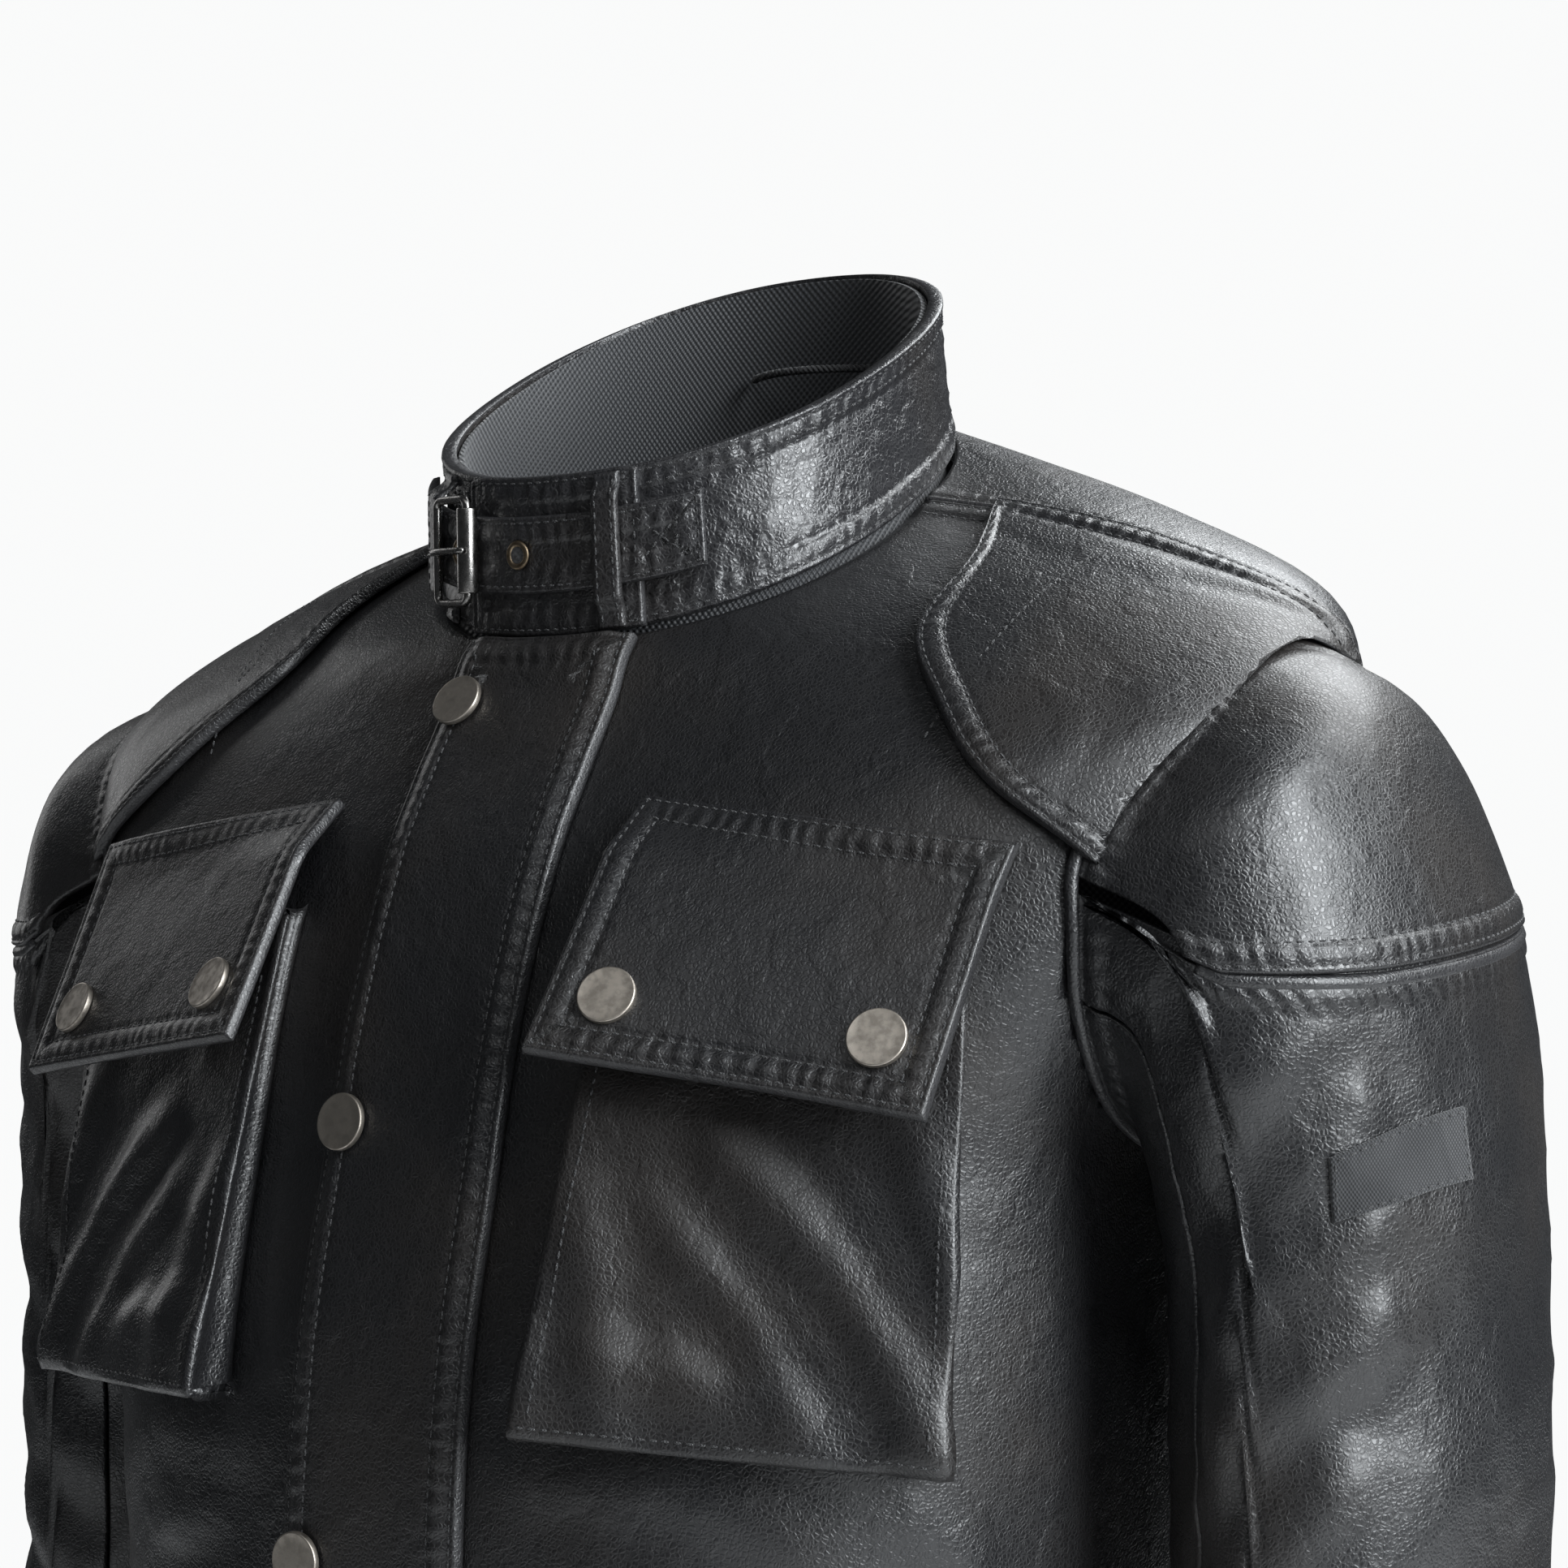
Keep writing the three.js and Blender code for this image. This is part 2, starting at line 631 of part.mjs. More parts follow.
/** Blank woven badge on the left sleeve. */
function sleeveBadge() {
  const s = BADGE.station;
  const middle = sleevePoint(s, BADGE.facing);
  const perStation = sleevePoint(s + 0.5, BADGE.facing).distanceTo(
    sleevePoint(s - 0.5, BADGE.facing),
  );
  const perDegree = sleevePoint(s, BADGE.facing + 5).distanceTo(middle) / 5;
  const half = BADGE.along / 2 / perDegree;
  const tall = BADGE.tall / 2 / perStation;
  const angles = [BADGE.facing - half, BADGE.facing + half];
  return sleeveSlab([s - tall, s + tall], angles, [REST_GAP, REST_GAP + BADGE.thick], 1, 4);
}

addPiece("sleeve_badge", sleeveBadge(), "badge");

// ---------------------------------------------------------------- collar
/** Slab of the collar between heights v and angles. */
function collarSlab(heights, angles, inner, outer, rows, columns) {
  const sheet = (offset) => (i, j) => {
    const v = heights[0] + (heights[1] - heights[0]) * i;
    return collarSurface(v, angles[0] + (angles[1] - angles[0]) * j, offset(v));
  };
  return solidBetween(sheet(inner), sheet(outer), rows, columns);
}

const flat = (value) => () => value;
const slitHalf = 1.5;
const around = [slitHalf, 360 - slitHalf];
const collarFoot = 0.03;
const collarBand = [collarFoot, 1];
const COLLAR_COLUMNS = 28;
addPiece(
  "collar_stand",
  collarSlab(collarBand, around, flat(-COLLAR_LEATHER), flat(0), 1, COLLAR_COLUMNS),
  "collarLeather",
);
const collarLiningOuter = -COLLAR_LEATHER - SEAM_GAP;
addPiece(
  "collar_lining",
  collarSlab(
    [collarFoot, 0.97],
    [4, 356],
    flat(collarLiningOuter - COLLAR_LINING),
    flat(collarLiningOuter),
    1,
    COLLAR_COLUMNS,
  ),
  "lining",
);
addPiece(
  "collar_tab",
  collarSlab([0.02, 1], TAB_ANGLES, flat(REST_GAP), flat(REST_GAP + TAB_LEATHER), 1, 6),
  "collarLeather",
);

const strapHalf = STRAP_WIDTH / 2 / COLLAR_HEIGHT;
const strapHeights = [0.52 - strapHalf, 0.52 + strapHalf];
const strapOuter = STRAP_LIFT + STRAP_LEATHER;
addPiece(
  "throat_strap",
  collarSlab(strapHeights, STRAP_ANGLES, flat(STRAP_LIFT), flat(strapOuter), 1, 14),
  "collarLeather",
);

/** Keeper loop over the strap: stitched down above and below it. */
function keeper(angle, seat) {
  const half = KEEPER_WIDTH / 2 / (NECK.front * DEG);
  const clearance = 0.5;
  const bridge = strapOuter + clearance;
  const margin = 0.06;
  const inner = (v) => {
    const beside = Math.max(strapHeights[0] - margin - v, v - strapHeights[1] - margin, 0);
    return THREE.MathUtils.lerp(bridge, seat, Math.min(1, beside / 0.1));
  };
  const outer = (v) => inner(v) + KEEPER_LEATHER;
  return collarSlab([0.03, 0.97], [angle - half, angle + half], inner, outer, 12, 1);
}

const tabOuter = REST_GAP + TAB_LEATHER;
addPiece("strap_keeper_left", keeper(KEEPER_ANGLES.left, tabOuter + 0.5), "collarLeather");
addPiece("strap_keeper_right", keeper(KEEPER_ANGLES.right, REST_GAP), "collarLeather");

/** Frame of axes on the strap: X along the strap to the wearer's left, Z outwards. */
function strapFrame(angle, offset) {
  const v = 0.52;
  const origin = collarSurface(v, angle, offset);
  const out = collarSurface(v, angle, offset + 1).sub(origin);
  const up = collarSurface(v + 0.01, angle, offset).sub(origin);
  up.addScaledVector(out, -up.dot(out)).normalize();
  const left = up.clone().cross(out);
  return new THREE.Matrix4().makeBasis(left, up, out).setPosition(origin);
}

/** Flat ring or disc turned about Z, from a closed profile of radius and height. */
function turned(profile, sides) {
  const points = profile.map(([r, h]) => new THREE.Vector2(r, h));
  return new THREE.LatheGeometry(points, sides).rotateX(90 * DEG);
}

const buckleLift = strapOuter + 0.35 + ROLLER.outer;
const buckleFrame = strapFrame(BUCKLE_ANGLE, buckleLift);
const barAt = BUCKLE.width / 2 - BUCKLE.bar / 2;

/** Rectangular buckle frame with square bars. */
function buckleBody() {
  const shape = new THREE.Shape();
  const w = BUCKLE.width / 2;
  const h = BUCKLE.height / 2;
  shape.moveTo(-w, -h);
  shape.lineTo(w, -h);
  shape.lineTo(w, h);
  shape.lineTo(-w, h);
  shape.closePath();
  const inside = new THREE.Path();
  inside.moveTo(-w + BUCKLE.bar, -h + BUCKLE.bar);
  inside.lineTo(-w + BUCKLE.bar, h - BUCKLE.bar);
  inside.lineTo(w - BUCKLE.bar, h - BUCKLE.bar);
  inside.lineTo(w - BUCKLE.bar, -h + BUCKLE.bar);
  inside.closePath();
  shape.holes.push(inside);
  const body = new THREE.ExtrudeGeometry(shape, { depth: BUCKLE.bar, bevelEnabled: false });
  return body.translate(0, 0, -BUCKLE.bar / 2).applyMatrix4(buckleFrame);
}

/** Tube about the frame's Y axis at x. */
function barTube(x, inner, outer, length) {
  const half = length / 2;
  const profile = [
    [inner, -half],
    [outer, -half],
    [outer, half],
    [inner, half],
    [inner, -half],
  ];
  const points = profile.map(([r, h]) => new THREE.Vector2(r, h));
  return new THREE.LatheGeometry(points, 12).translate(x, 0, 0);
}

/** Prong: an eye around one bar and a pin that lies over the roller. */
function buckleProng() {
  const eye = barTube(-barAt, ROLLER.inner, ROLLER.outer, PRONG.eyeWidth);
  const reach = BUCKLE.width + 3.5;
  const pin = new THREE.BoxGeometry(reach, PRONG.bar, PRONG.bar);
  pin.translate(reach / 2 - barAt, 0, ROLLER.outer + PRONG.bar / 2 + 0.4);
  const foot = new THREE.BoxGeometry(PRONG.bar, PRONG.bar, PRONG.bar + 1.4);
  foot.translate(-barAt, 0, ROLLER.outer + (PRONG.bar + 1.4) / 2 - 1);
  return join(eye, pin, foot).applyMatrix4(buckleFrame);
}

addPiece("buckle_frame", buckleBody(), "gunmetal");
const roller = barTube(barAt, ROLLER.inner, ROLLER.outer, ROLLER.length);
addPiece("buckle_roller", roller.applyMatrix4(buckleFrame), "gunmetal");
addPiece("buckle_prong", buckleProng(), "gunmetal");

/** Eyelet ring on the strap. */
function eyelet(angle) {
  const profile = [
    [EYELET.inner, 0],
    [EYELET.outer, 0],
    [EYELET.outer, EYELET.thick],
    [EYELET.inner, EYELET.thick],
    [EYELET.inner, 0],
  ];
  return turned(profile, 12).applyMatrix4(strapFrame(angle, strapOuter + 0.4));
}

addPiece("eyelet_front", eyelet(EYELET_ANGLES.front), "brass");
addPiece("eyelet_end", eyelet(EYELET_ANGLES.end), "brass");

// ---------------------------------------------------------------- storm placket and zip
/** Slab along the middle of the front, through a list of x values. */
function frontStrip(stations, xs, inner, outer, rows) {
  const columns = xs.length - 1;
  const sheet = (offset) => (i, j) => {
    const s = stations[0] + (stations[1] - stations[0]) * i;
    const x = xs[Math.round(j * columns)];
    return bodySurface(s, angleAtX(s, x), offset(x));
  };
  return solidBetween(sheet(inner), sheet(outer), rows, columns);
}

const PLACKET_TOP = 11.7;
const PLACKET_STEP = [PLACKET_HALF - 8, PLACKET_HALF - 2.5];
const placketLift = (x) => (Math.abs(x) > PLACKET_STEP[0] + 0.1 ? 0 : PLACKET_LIFT);
const placketInner = (x) => REST_GAP + placketLift(x);
const placketOuter = (x) => placketInner(x) + PLACKET_LEATHER;
const placketSide = [PLACKET_HALF, PLACKET_STEP[1], PLACKET_STEP[0], PLACKET_STEP[0] / 2];
const placketX = [...placketSide.map((x) => -x), 0, ...placketSide.reverse()];
addPiece(
  "storm_placket",
  frontStrip([0.06, PLACKET_TOP], placketX, placketInner, placketOuter, BODY_ROWS),
  "leather",
);

/** Station of the front's middle line at height z. */
function stationAtFront(z) {
  let low = 0;
  let high = NECK_STATION;
  for (let i = 0; i < 34; i++) {
    const middle = (low + high) / 2;
    const ring = section(middle);
    if (ring.z - ring.tilt * ring.f < z) low = middle;
    else high = middle;
  }
  return low;
}

/** Frame of axes with Z along the outward direction between two points. */
function frameOn(origin, outward) {
  const out = outward.clone().normalize();
  const left = new THREE.Vector3(1, 0, 0).addScaledVector(out, -out.x).normalize();
  const up = out.clone().cross(left);
  return new THREE.Matrix4().makeBasis(left, up, out).setPosition(origin);
}

/** Snap cap: a disc with a low dome. */
function snapCap(radius, place) {
  const profile = [
    [0, 0],
    [radius, 0],
    [radius, SNAP_HEIGHT * 0.6],
    [radius * 0.9, SNAP_HEIGHT],
    [0, SNAP_HEIGHT],
  ];
  return turned(profile, 12).applyMatrix4(place);
}

for (let k = 0; k < PLACKET_SNAPS; k++) {
  const drop = k * PLACKET_SNAP_PITCH;
  const s = stationAtFront(PLACKET_SNAP_TOP - drop);
  const degrees = angleAtX(s, PLACKET_SNAP_X);
  const clear = 0.75;
  const origin = bodySurface(s, degrees, placketOuter(0) + clear);
  const outward = bodySurface(s, degrees, 50).sub(origin);
  addPiece("placket_snap_" + (k + 1), snapCap(SNAP_RADIUS, frameOn(origin, outward)), "nickel");
}

/** One zip tape with its row of teeth, on the wearer's left. */
function zipTape() {
  const near = 0.35;
  const face = -LEATHER - 0.7;
  const teethEnd = near + ZIP_TEETH;
  const outer = (x) => (x > teethEnd + 0.1 ? face : -0.7);
  const xs = [near, teethEnd, teethEnd + 0.6, ZIP_TAPE];
  const stations = [0.02, PLACKET_TOP - 0.5];
  return frontStrip(stations, xs, flat(face - ZIP_TAPE_THICK), outer, BODY_ROWS);
}

addPair("zip_tape", zipTape(), "tape");

/** Zip slider in front of the teeth at height z. */
function zipSlider(z) {
  const s = stationAtFront(z);
  const origin = bodySurface(s, 0, 0.2);
  const outward = bodySurface(s, 0, 50).sub(origin);
  const body = new THREE.BoxGeometry(SLIDER.width, SLIDER.length, SLIDER.thick);
  body.translate(0, 0, SLIDER.thick / 2 - 0.3);
  return body.applyMatrix4(frameOn(origin, outward));
}

addPiece("zip_top_slider", zipSlider(SLIDER_TOP_Z), "gunmetal");
addPiece("zip_bottom_slider", zipSlider(SLIDER_BOTTOM_Z), "gunmetal");

// ---------------------------------------------------------------- pockets and flaps
/** Point in front of the body from x, z and the distance that it stands off. */
function standing([x, z, off], reach = 148) {
  const p = frontPoint(Math.min(x, reach), z);
  return new THREE.Vector3(x, p.y - off, z);
}

/** Point of the four-cornered face from its top edge down and from its inner edge out. */
function facePoint(corners, down, across) {
  const top = standing(corners[0]).lerp(standing(corners[1]), across);
  const bottom = standing(corners[2]).lerp(standing(corners[3]), across);
  return top.lerp(bottom, down);
}

/** Patch pocket: front, sides and bottom, open at the top and against the panel. */
function pocketBag(pocket) {
  const corners = [pocket.topInner, pocket.topOuter, pocket.bottomInner, pocket.bottomOuter];
  const face = (i, j) => facePoint(corners, i, j);
  const inner = Math.min(pocket.topInner[0], pocket.bottomInner[0]);
  const seat = (i, j) => {
    const p = face(i, j);
    return frontPoint(inner + (p.x - inner) * pocket.seatShare, p.z, REST_GAP + 0.4);
  };
  const outer = solidBetween(seat, face, 5, 5);
  const tall = Math.abs(pocket.topInner[1] - pocket.bottomInner[1]);
  const broad = pocket.topOuter[0] - pocket.topInner[0];
  const shrink = (i, j) => [
    -0.1 + (1.1 - POCKET_WALL / tall) * i,
    POCKET_WALL / broad + (1 - (2 * POCKET_WALL) / broad) * j,
  ];
  const hollowFace = (i, j) => face(...shrink(i, j)).add(new THREE.Vector3(0, POCKET_WALL, 0));
  const hollowSeat = (i, j) => seat(...shrink(i, j)).add(new THREE.Vector3(0, 6, 0));
  return cut(outer, solidBetween(hollowSeat, hollowFace, 5, 5));
}

/** Corners of a flap's outer face, its width and height, and the direction into the body. */
function flapFrame(flap) {
  const corners = [flap.hingeInner, flap.hingeOuter, flap.lowerInner, flap.lowerOuter];
  const [hinge, hingeEnd, foot] = corners.map((corner) => standing(corner));
  const across = hingeEnd.sub(hinge);
  const downwards = foot.sub(hinge);
  const inwards = across.clone().cross(downwards).normalize();
  if (inwards.y < 0) inwards.negate();
  return { corners, inwards, wide: across.length(), tall: downwards.length() };
}

/** Moving part of a flap: a doubled sheet that hangs from its hinge line. */
function flapSheet(flap) {
  const { corners, inwards } = flapFrame(flap);
  const face = (i, j) => facePoint(corners, i, j);
  const back = (i, j) => face(i, j).addScaledVector(inwards, FOLD);
  return solidBetween(back, face, 2, 3);
}

/** Stitched band that holds a flap, on the panel above the hinge line. */
function flapBand(flap) {
  const gap = 0.6;
  const start = standing(flap.hingeInner);
  const end = standing(flap.hingeOuter);
  const sheet = (inner) => (i, j) => {
    const foot = start.clone().lerp(end, j);
    const seat = frontPoint(foot.x, foot.z + gap + flap.band * i, REST_GAP + 0.4);
    const proud = THREE.MathUtils.lerp(foot.y, seat.y - FOLD, Math.min(1, i * 1.6));
    return inner ? seat : new THREE.Vector3(seat.x, Math.min(proud, seat.y - FOLD), seat.z);
  };
  return solidBetween(sheet(true), sheet(false), 3, 5);
}

/** Snap near the lower edge of a flap, at its inner or outer end. */
function flapSnap(flap, side) {
  const { corners, wide, tall } = flapFrame(flap);
  const inset = FLAP_SNAP_INSET / wide;
  const share = side === "inner" ? inset : 1 - inset;
  const down = 1 - FLAP_SNAP_INSET / tall;
  const step = 0.05;
  const point = (i, j) => facePoint(corners, down + i * step, share + j * step);
  const outward = point(0, 1).sub(point(0, -1)).cross(point(1, 0).sub(point(-1, 0)));
  if (outward.y > 0) outward.negate();
  const clear = 0.6;
  const origin = point(0, 0).addScaledVector(outward.normalize(), clear);
  return snapCap(SNAP_RADIUS, frameOn(origin, outward));
}

const POCKETS = {
  chest: { pocket: CHEST_POCKET, flap: CHEST_FLAP },
  lower: { pocket: LOWER_POCKET, flap: LOWER_FLAP },
};
for (const [place, { pocket, flap }] of Object.entries(POCKETS)) {
  addPair(place + "_pocket", pocketBag(pocket), "leather");
  if (flap.band) addPair(place + "_flap_band", flapBand(flap), "leather");
  addPair(place + "_flap", flapSheet(flap), "leather");
  addPair(place + "_flap_snap_inner", flapSnap(flap, "inner"), "nickel");
  addPair(place + "_flap_snap_outer", flapSnap(flap, "outer"), "nickel");
}

// ---------------------------------------------------------------- cuff snaps and hanger
/** Snap near the free end of the left cuff tab. */
function cuffSnap() {
  const s = (CUFF_TAB.low + CUFF_TAB.high) / 2;
  const degrees = CUFF_TAB.from + 14;
  const clear = 0.9;
  const origin = sleeveSurface(s, degrees, tabOffsets[1] + clear);
  const outward = sleeveSurface(s, degrees, tabOffsets[1] + 20).sub(origin);
  return snapCap(CUFF_SNAP_RADIUS, frameOn(origin, outward));
}

addPair("cuff_snap", cuffSnap(), "nickel");

/** Hanger loop: a bar that stands off the inside of the collar at the back. */
function hangerLoop() {
  const inside = -COLLAR_LEATHER - COLLAR_LINING - SEAM_GAP - 1;
  const left = collarSurface(0.35, 180 - HANGER.width / 3, inside - 1);
  const right = left.clone().setX(-left.x);
  const middle = collarSurface(0.35, 180, inside - HANGER.drop);
  const route = new THREE.CatmullRomCurve3([left, middle, right]);
  const round = new THREE.Shape().absarc(0, 0, HANGER.cord / 2, 0, 360 * DEG);
  return new THREE.ExtrudeGeometry(round, { steps: 12, extrudePath: route, curveSegments: 8 });
}

addPiece("hanger_loop", hangerLoop(), "lining");

export default jacket;
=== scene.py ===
"""Looks of a four-pocket leather riding jacket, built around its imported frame.

Lengths inside the forms are millimetres, and meshes are made in metres. +Z is up, the front
faces -Y and the wearer's left is +X, as in the frame.
"""

import json
import logging
import math
from dataclasses import dataclass, field
from enum import Enum
from typing import Callable, Sequence

import bpy
import numpy as np
from mathutils import Matrix, Vector


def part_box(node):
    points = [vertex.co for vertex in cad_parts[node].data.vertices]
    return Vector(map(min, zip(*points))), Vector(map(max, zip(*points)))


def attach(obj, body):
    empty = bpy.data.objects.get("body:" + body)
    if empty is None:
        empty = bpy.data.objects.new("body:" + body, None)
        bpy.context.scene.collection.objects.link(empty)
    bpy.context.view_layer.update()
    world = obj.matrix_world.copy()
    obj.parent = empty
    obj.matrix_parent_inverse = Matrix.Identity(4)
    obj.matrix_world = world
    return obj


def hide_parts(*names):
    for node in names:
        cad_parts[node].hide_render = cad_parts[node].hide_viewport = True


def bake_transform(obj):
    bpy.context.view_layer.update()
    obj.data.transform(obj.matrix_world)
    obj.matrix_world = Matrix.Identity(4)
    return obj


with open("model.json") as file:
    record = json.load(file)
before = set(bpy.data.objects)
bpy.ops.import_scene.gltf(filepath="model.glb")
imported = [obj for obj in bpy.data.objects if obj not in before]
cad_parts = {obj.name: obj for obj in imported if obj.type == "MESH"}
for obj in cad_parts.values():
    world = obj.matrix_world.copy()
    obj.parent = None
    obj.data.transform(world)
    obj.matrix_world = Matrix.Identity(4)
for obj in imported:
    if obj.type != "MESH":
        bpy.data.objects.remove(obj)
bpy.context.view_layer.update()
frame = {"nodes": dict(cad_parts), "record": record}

logging.basicConfig(level=logging.INFO, format="%(message)s")
LOG = logging.getLogger("jacket")

Array = np.ndarray
MM = 0.001
LEATHER = 2.0
STITCH_ROWS = (2.3, 8.6)  # the two rows of stitching, from a sewn edge
STITCH_PITCH = 3.1
SIDES = {"left": 1.0, "right": -1.0}


# ---------------------------------------------------------------- body, sleeve and collar forms
# z, half width, depth to the front, depth to the back, power, rise towards the back
BODY = np.array([
    (0, 180, 138, 112, 2.5, 0),
    (120, 176, 142, 108, 2.5, 0),
    (240, 161, 146, 99, 2.6, 0),
    (350, 162, 150, 103, 2.8, 0),
    (420, 164, 146, 108, 3, 0.01),
    (480, 167, 134, 113, 3, 0.03),
    (520, 182, 126, 116, 2.9, 0.08),
    (556, 198, 117, 114, 2.9, 0.16),
    (590, 208, 107, 107, 2.7, 0.27),
    (617, 203, 95, 98, 2.5, 0.37),
    (638, 162, 83, 89, 2.3, 0.44),
    (652, 118, 78, 81, 2.2, 0.5),
    (661, 77, 72, 76, 2.2, 0.55),
], float)
NECK_STATION = len(BODY) - 1
YOKE_STATION = 6.4
SEAM_ANGLE = 95.0

# inner x, inner z, outer x, outer z, middle y, half width along y
SLEEVE = np.array([
    (169.5, 476, 229, 603, -2, 77),
    (170, 469, 246, 574, 0, 77),
    (170, 460, 255, 540, 3, 76),
    (170, 446, 260, 500, 6, 74),
    (170, 424, 262, 455, 8, 73),
    (169.5, 390, 263, 405, 8, 72),
    (169.5, 340, 263, 345, 8, 70),
    (172, 288, 265, 290, 6, 67),
    (178, 233, 268, 232, 3, 63),
    (187, 170, 272, 167, -2, 57),
    (196, 110, 275, 107, -8, 51),
    (202, 60, 275, 57, -13, 46),
    (205, 20, 274, 18, -16, 43),
], float)
SLEEVE_END = float(len(SLEEVE))
CUFF_START = 12.1
UNDER_FROM, UNDER_TO = 118.0, 246.0
CAP_LINE = np.array([(150, 566), (175, 556), (195, 543), (215, 533), (245, 530), (300, 530)], float)
CAP_RISE = 0.12


@dataclass(frozen=True)
class Oval:
    """Oval tube whose meeting with the body is the left armhole."""

    centre: tuple[float, float, float] = (186, -3, 548)
    out: tuple[float, float, float] = (0.957, 0, -0.29)
    up: tuple[float, float, float] = (0.29, 0, 0.957)
    tall: float = 72
    wide: float = 76
    upper_power: float = 1.5
    lower_power: float = 2.0

    def shares(self, degrees: Array) -> Array:
        """Shares of the half width and the half height at angles from the top.

        Args:
            degrees: angles.

        Returns:
            Pairs of shares.
        """
        sin, cos = np.sin(np.radians(degrees)), np.cos(np.radians(degrees))
        power = np.where(cos > 0, self.upper_power, self.lower_power)
        r = (np.abs(sin) ** power + np.abs(cos) ** power) ** (-1 / power)
        return np.stack([r * sin, r * cos], -1)

    def clearance(self, points: Array) -> Array:
        """Rough distance of points from the tube's wall, above 0 outside it.

        Args:
            points: points.

        Returns:
            Distances in millimetres.
        """
        rel = points - np.array(self.centre)
        side = np.abs(rel[..., 1]) / self.wide
        rise = rel @ np.array(self.up) / self.tall
        power = np.where(rise > 0, self.upper_power, self.lower_power)
        radius = (side ** power + np.abs(rise) ** power) ** (1 / power)
        return (radius - 1) * (self.tall + self.wide) / 2


ARMHOLE = Oval()


def along(table: Array, s: Array) -> Array:
    """Smooth curve through the rows of a table, straight beyond its ends.

    Args:
        table: rows to pass through.
        s: fractional row numbers.

    Returns:
        The interpolated rows.
    """
    s = np.asarray(s, float)
    k = np.clip(np.floor(s).astype(int), 0, len(table) - 2)
    wide = np.concatenate([2 * table[:1] - table[1:2], table, 2 * table[-1:] - table[-2:-1]])
    t = (s - k)[..., None]
    a, b, c, d = (wide[k + m] for m in range(4))
    slope_in, slope_out = (c - a) / 2, (d - b) / 2
    cubic = 2 * (b - c) + slope_in + slope_out
    square = 3 * (c - b) - 2 * slope_in - slope_out
    return ((cubic * t + square) * t + slope_in) * t + b


def body_point(s: Array, degrees: Array) -> Array:
    """Points of the body's surface at stations, at angles from the front.

    Args:
        s: stations.
        degrees: angles.

    Returns:
        Points in millimetres.
    """
    z, w, f, b, n, tilt = np.moveaxis(along(BODY, s), -1, 0)
    sin, cos = np.sin(np.radians(degrees)), np.cos(np.radians(degrees))
    depth = np.where(cos > 0, f, b)
    r = (np.abs(sin / w) ** n + np.abs(cos / depth) ** n) ** (-1 / n)
    return np.stack([r * sin, -r * cos, z - tilt * r * cos], -1)


def body_field(p: Array) -> Array:
    """Value below 0 inside the body form and above 0 outside it.

    Args:
        p: points.

    Returns:
        One value for each point.
    """
    low = np.full(p.shape[:-1], -1.0)
    high = np.full(p.shape[:-1], NECK_STATION + 1.0)
    for _ in range(26):
        middle = (low + high) / 2
        ring = along(BODY, middle)
        under = ring[..., 0] + ring[..., 5] * p[..., 1] < p[..., 2]
        low, high = np.where(under, middle, low), np.where(under, high, middle)
    ring = along(BODY, low)
    depth = np.where(p[..., 1] < 0, ring[..., 2], ring[..., 3])
    n = ring[..., 4]
    return np.abs(p[..., 0] / ring[..., 1]) ** n + np.abs(p[..., 1] / depth) ** n - 1


def meet_body(start: Array, direction: Array, reach: float) -> Array:
    """Points where rays from outside first meet the body.

    Args:
        start: starts of the rays.
        direction: direction of the rays.
        reach: length of the rays.

    Returns:
        Points in millimetres.
    """
    near = np.zeros(start.shape[:-1])
    far = np.full(start.shape[:-1], reach)
    for _ in range(26):
        middle = (near + far) / 2
        outside = body_field(start + direction * middle[..., None]) > 0
        near, far = np.where(outside, middle, near), np.where(outside, far, middle)
    return start + direction * near[..., None]


def front_hit(x: Array, z: Array) -> Array:
    """Points of the body's front at x and z.

    Args:
        x: distances to the wearer's left.
        z: heights.

    Returns:
        Points in millimetres.
    """
    x, z = np.broadcast_arrays(np.asarray(x, float), np.asarray(z, float))
    reach = 240.0
    start = np.stack([x, np.full(x.shape, -reach), z], -1)
    return meet_body(start, np.array([0.0, 1, 0]), reach)


def front_point(x: Array, z: Array, offset: float = 0) -> Array:
    """Points of the body's front at x and z, moved outwards along the normal.

    Args:
        x: distances to the wearer's left.
        z: heights.
        offset: distance moved outwards.

    Returns:
        Points in millimetres.
    """
    p = front_hit(x, z)
    cross_x = front_hit(np.asarray(x) + 1, z) - front_hit(np.asarray(x) - 1, z)
    cross_z = front_hit(x, np.asarray(z) + 1) - front_hit(x, np.asarray(z) - 1)
    return p + unit(np.cross(cross_x, cross_z)) * offset


def unit(v: Array) -> Array:
    """Vectors of length 1."""
    return v / np.maximum(np.linalg.norm(v, axis=-1, keepdims=True), 1e-9)


def armhole_curve(degrees: Array, grow: float = 0, lift: float = 1.6) -> Array:
    """Points of the left armhole seam, at angles from its top towards the back.

    Args:
        degrees: angles round the oval.
        grow: how far outside the seam the curve runs.
        lift: how far it stands off the body, along the tube.

    Returns:
        Points in millimetres.
    """
    share = ARMHOLE.shares(degrees)
    out, up = np.array(ARMHOLE.out), np.array(ARMHOLE.up)
    outside = 70.0
    start = np.array(ARMHOLE.centre) + out * outside + up * (share[..., 1:] * (ARMHOLE.tall + grow))
    start = start + np.array([0, 1, 0]) * (share[..., :1] * (ARMHOLE.wide + grow))
    return meet_body(start, -out, outside * 2) + out * lift


ARMHOLE_RING = armhole_curve(np.arange(0, 361.0))


